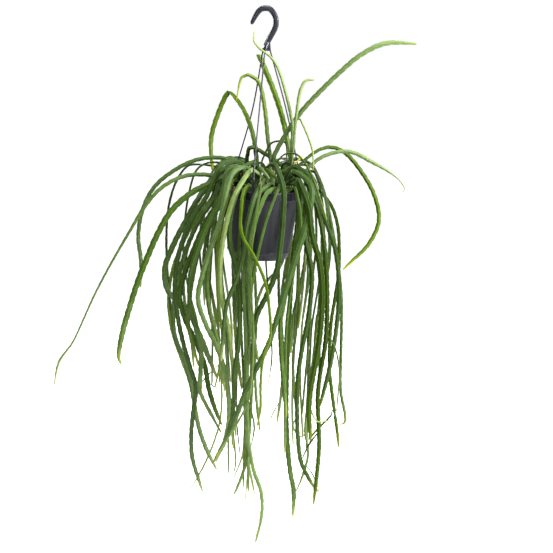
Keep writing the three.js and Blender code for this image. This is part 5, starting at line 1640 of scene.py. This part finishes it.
# What the lamps aim at, and each soft lamp: its place, its size across, and the power that it takes
LAMP_AIM = Vector((0, 0, -0.45))
LAMPS = (("right softbox", (2.0, -1.0, 0.45), 1.1, "key"), ("left softbox", (-1.9, 0.25, 1.1), 0.5, "side"),
         ("top softbox", (0.1, -0.9, 1.7), 1.0, "top"), ("back softbox", (-0.5, 2.2, 0.5), 1.2, "back"))


def soft_light(name, place, size, watts):
    """A large soft lamp"""
    lamp = bpy.data.lights.new(name, "AREA")
    lamp.shape = "DISK"
    lamp.size = size
    lamp.energy = watts
    thing = new_piece(name, lamp)
    thing.location = place
    thing.rotation_euler = (LAMP_AIM - Vector(place)).to_track_quat("-Z", "Y").to_euler()


def studio_world(look):
    """A white surround that lights the pot more from above than from below"""
    world = bpy.data.worlds.new("Soft studio")
    world.use_nodes = True
    world.node_tree.nodes.clear()
    tree = Tree(world.node_tree)
    way = tree.add("ShaderNodeTexCoord").outputs["Generated"]
    up = tree.add("ShaderNodeSeparateXYZ", {0: way}).outputs["Z"]
    level = tree.times(tree.fitted(up, -0.6, 0.9, 0.12, 1.0), look.light)
    seen = tree.add("ShaderNodeLightPath").outputs["Is Camera Ray"]
    strength = tree.add("ShaderNodeMix", {0: seen, 2: level, 3: 1.0}, data_type="FLOAT").outputs[0]
    surround = tree.add("ShaderNodeBackground", {"Color": WHITE, "Strength": strength})
    tree.add("ShaderNodeOutputWorld", {"Surface": surround.outputs[0]})
    return world


def make_camera(look):
    """The camera, which looks at the pot from the front and a little down"""
    camera = bpy.data.cameras.new("camera")
    camera.lens = look.lens
    camera.sensor_width = 36
    camera.clip_end = 200
    eye = new_piece("camera", camera)
    eye.location = look.eye
    eye.rotation_euler = (math.pi / 2 - look.tilt, 0, 0)
    return eye


# The operators, one for each group of pieces

class HANGINGPOT_OT_materials(Operator):
    """Make the shared shader groups and the materials"""
    bl_idname = "hanging_pot.materials"
    bl_label = "Materials"

    def execute(self, context):
        scene = context.scene
        make_mottle()
        make_grain()
        make_dust()
        skin_material(scene.stem_look)
        plastic_material("pot_plastic", scene.pot_look.skin, rough=0.33, dusty=0.4)
        plastic_material("hanger_plastic", scene.hanger_look.skin, rough=0.29, dusty=0.35)
        matt_materials(scene.stem_look, scene.soil_look, scene.stage_look)
        return {"FINISHED"}


class HANGINGPOT_OT_stems(Operator):
    """Make each cutting's stub and its trailing stems"""
    bl_idname = "hanging_pot.stems"
    bl_label = "Stems"

    def execute(self, context):
        look = context.scene.stem_look
        tree = stem_tree()
        given = {
            "Lobe": look.lobe, "Sections a lobe": look.sections, "Corners": look.corners,
            "Notch": look.notch, "Wave": look.wave, "Cushion": look.hair, "Seed": look.seed,
            "Skin": bpy.data.materials["stem_skin"], "Wool": bpy.data.materials["cushion_wool"],
            "Healed cut": bpy.data.materials["healed_cut"],
        }
        chance = random.Random(look.seed)
        for name in sorted(frame["nodes"]):
            if name.startswith("cutting"):
                piece = new_piece(name + "_stems", cutting_lines(name, chance))
                apply_nodes(piece, tree, given)
                settle(piece, SLOT_OF[name], name)
        return {"FINISHED"}


class HANGINGPOT_OT_pot(Operator):
    """Make the pot with its lugs and drain holes"""
    bl_idname = "hanging_pot.pot"
    bl_label = "Pot"

    def execute(self, context):
        piece = make_pot(context.scene.pot_look)
        piece.data.materials.append(bpy.data.materials["pot_plastic"])
        settle(piece, SLOT_OF["pot"], "pot")
        return {"FINISHED"}


class HANGINGPOT_OT_hanger(Operator):
    """Make the hook, its hub and the three legs with their straps"""
    bl_idname = "hanging_pot.hanger"
    bl_label = "Hanger"

    def execute(self, context):
        piece = make_hanger(context.scene.hanger_look)
        piece.data.materials.append(bpy.data.materials["hanger_plastic"])
        settle(piece, SLOT_OF["hanger"], "hanger")
        return {"FINISHED"}


class HANGINGPOT_OT_soil(Operator):
    """Make the soil and the crumbs of bark on it"""
    bl_idname = "hanging_pot.soil"
    bl_label = "Soil"

    def execute(self, context):
        scene = context.scene
        soil = make_soil(scene.soil_look, scene.pot_look)
        soil.data.materials.append(bpy.data.materials["potting_mix"])
        settle(soil, SLOT_OF["soil"], "soil")
        settle(make_crumbs(scene.soil_look, soil), SLOT_OF["soil"], "soil")
        return {"FINISHED"}


class HANGINGPOT_OT_stage(Operator):
    """Make the floor, the lights and the camera"""
    bl_idname = "hanging_pot.stage"
    bl_label = "Stage"

    def execute(self, context):
        scene = context.scene
        look = scene.stage_look
        made = bmesh.new()
        place = Matrix.Translation((0, 0, CAD_BOX[0][2] - look.floor_gap))
        bmesh.ops.create_circle(made, cap_ends=True, segments=96, radius=FLOOR_RADIUS, matrix=place)
        floor = solid_piece("floor", made)
        floor.data.materials.append(bpy.data.materials["pale_floor"])

        scene.world = studio_world(look)
        for name, place, size, watts in LAMPS:
            soft_light(name, place, size, getattr(look, watts))
        scene.camera = make_camera(look)
        scene.view_settings.view_transform = "Standard"
        return {"FINISHED"}


class HANGINGPOT_PT_sidebar(Panel):
    """The hanging pot's pieces, in the order they are made"""
    bl_label = "Hanging pot"
    bl_idname = "HANGINGPOT_PT_sidebar"
    bl_space_type = "VIEW_3D"
    bl_region_type = "UI"
    bl_category = "Hanging pot"

    def draw(self, context):
        for operator in OPERATORS:
            self.layout.operator(operator.bl_idname)


LOOKS = {"stem_look": StemLook, "pot_look": PotLook, "hanger_look": HangerLook, "soil_look": SoilLook,
         "stage_look": StageLook}
OPERATORS = (HANGINGPOT_OT_materials, HANGINGPOT_OT_stems, HANGINGPOT_OT_pot, HANGINGPOT_OT_hanger,
             HANGINGPOT_OT_soil, HANGINGPOT_OT_stage)
CLASSES = (*LOOKS.values(), *OPERATORS, HANGINGPOT_PT_sidebar)


def register():
    for made in CLASSES:
        bpy.utils.register_class(made)
    for name, look in LOOKS.items():
        setattr(bpy.types.Scene, name, PointerProperty(type=look))


def unregister():
    for name in LOOKS:
        delattr(bpy.types.Scene, name)
    for made in reversed(CLASSES):
        bpy.utils.unregister_class(made)


def main():
    """Make every piece"""
    register()
    bpy.ops.hanging_pot.materials()
    bpy.ops.hanging_pot.stems()
    bpy.ops.hanging_pot.pot()
    bpy.ops.hanging_pot.hanger()
    bpy.ops.hanging_pot.soil()
    bpy.ops.hanging_pot.stage()


if __name__ == "__main__":
    main()
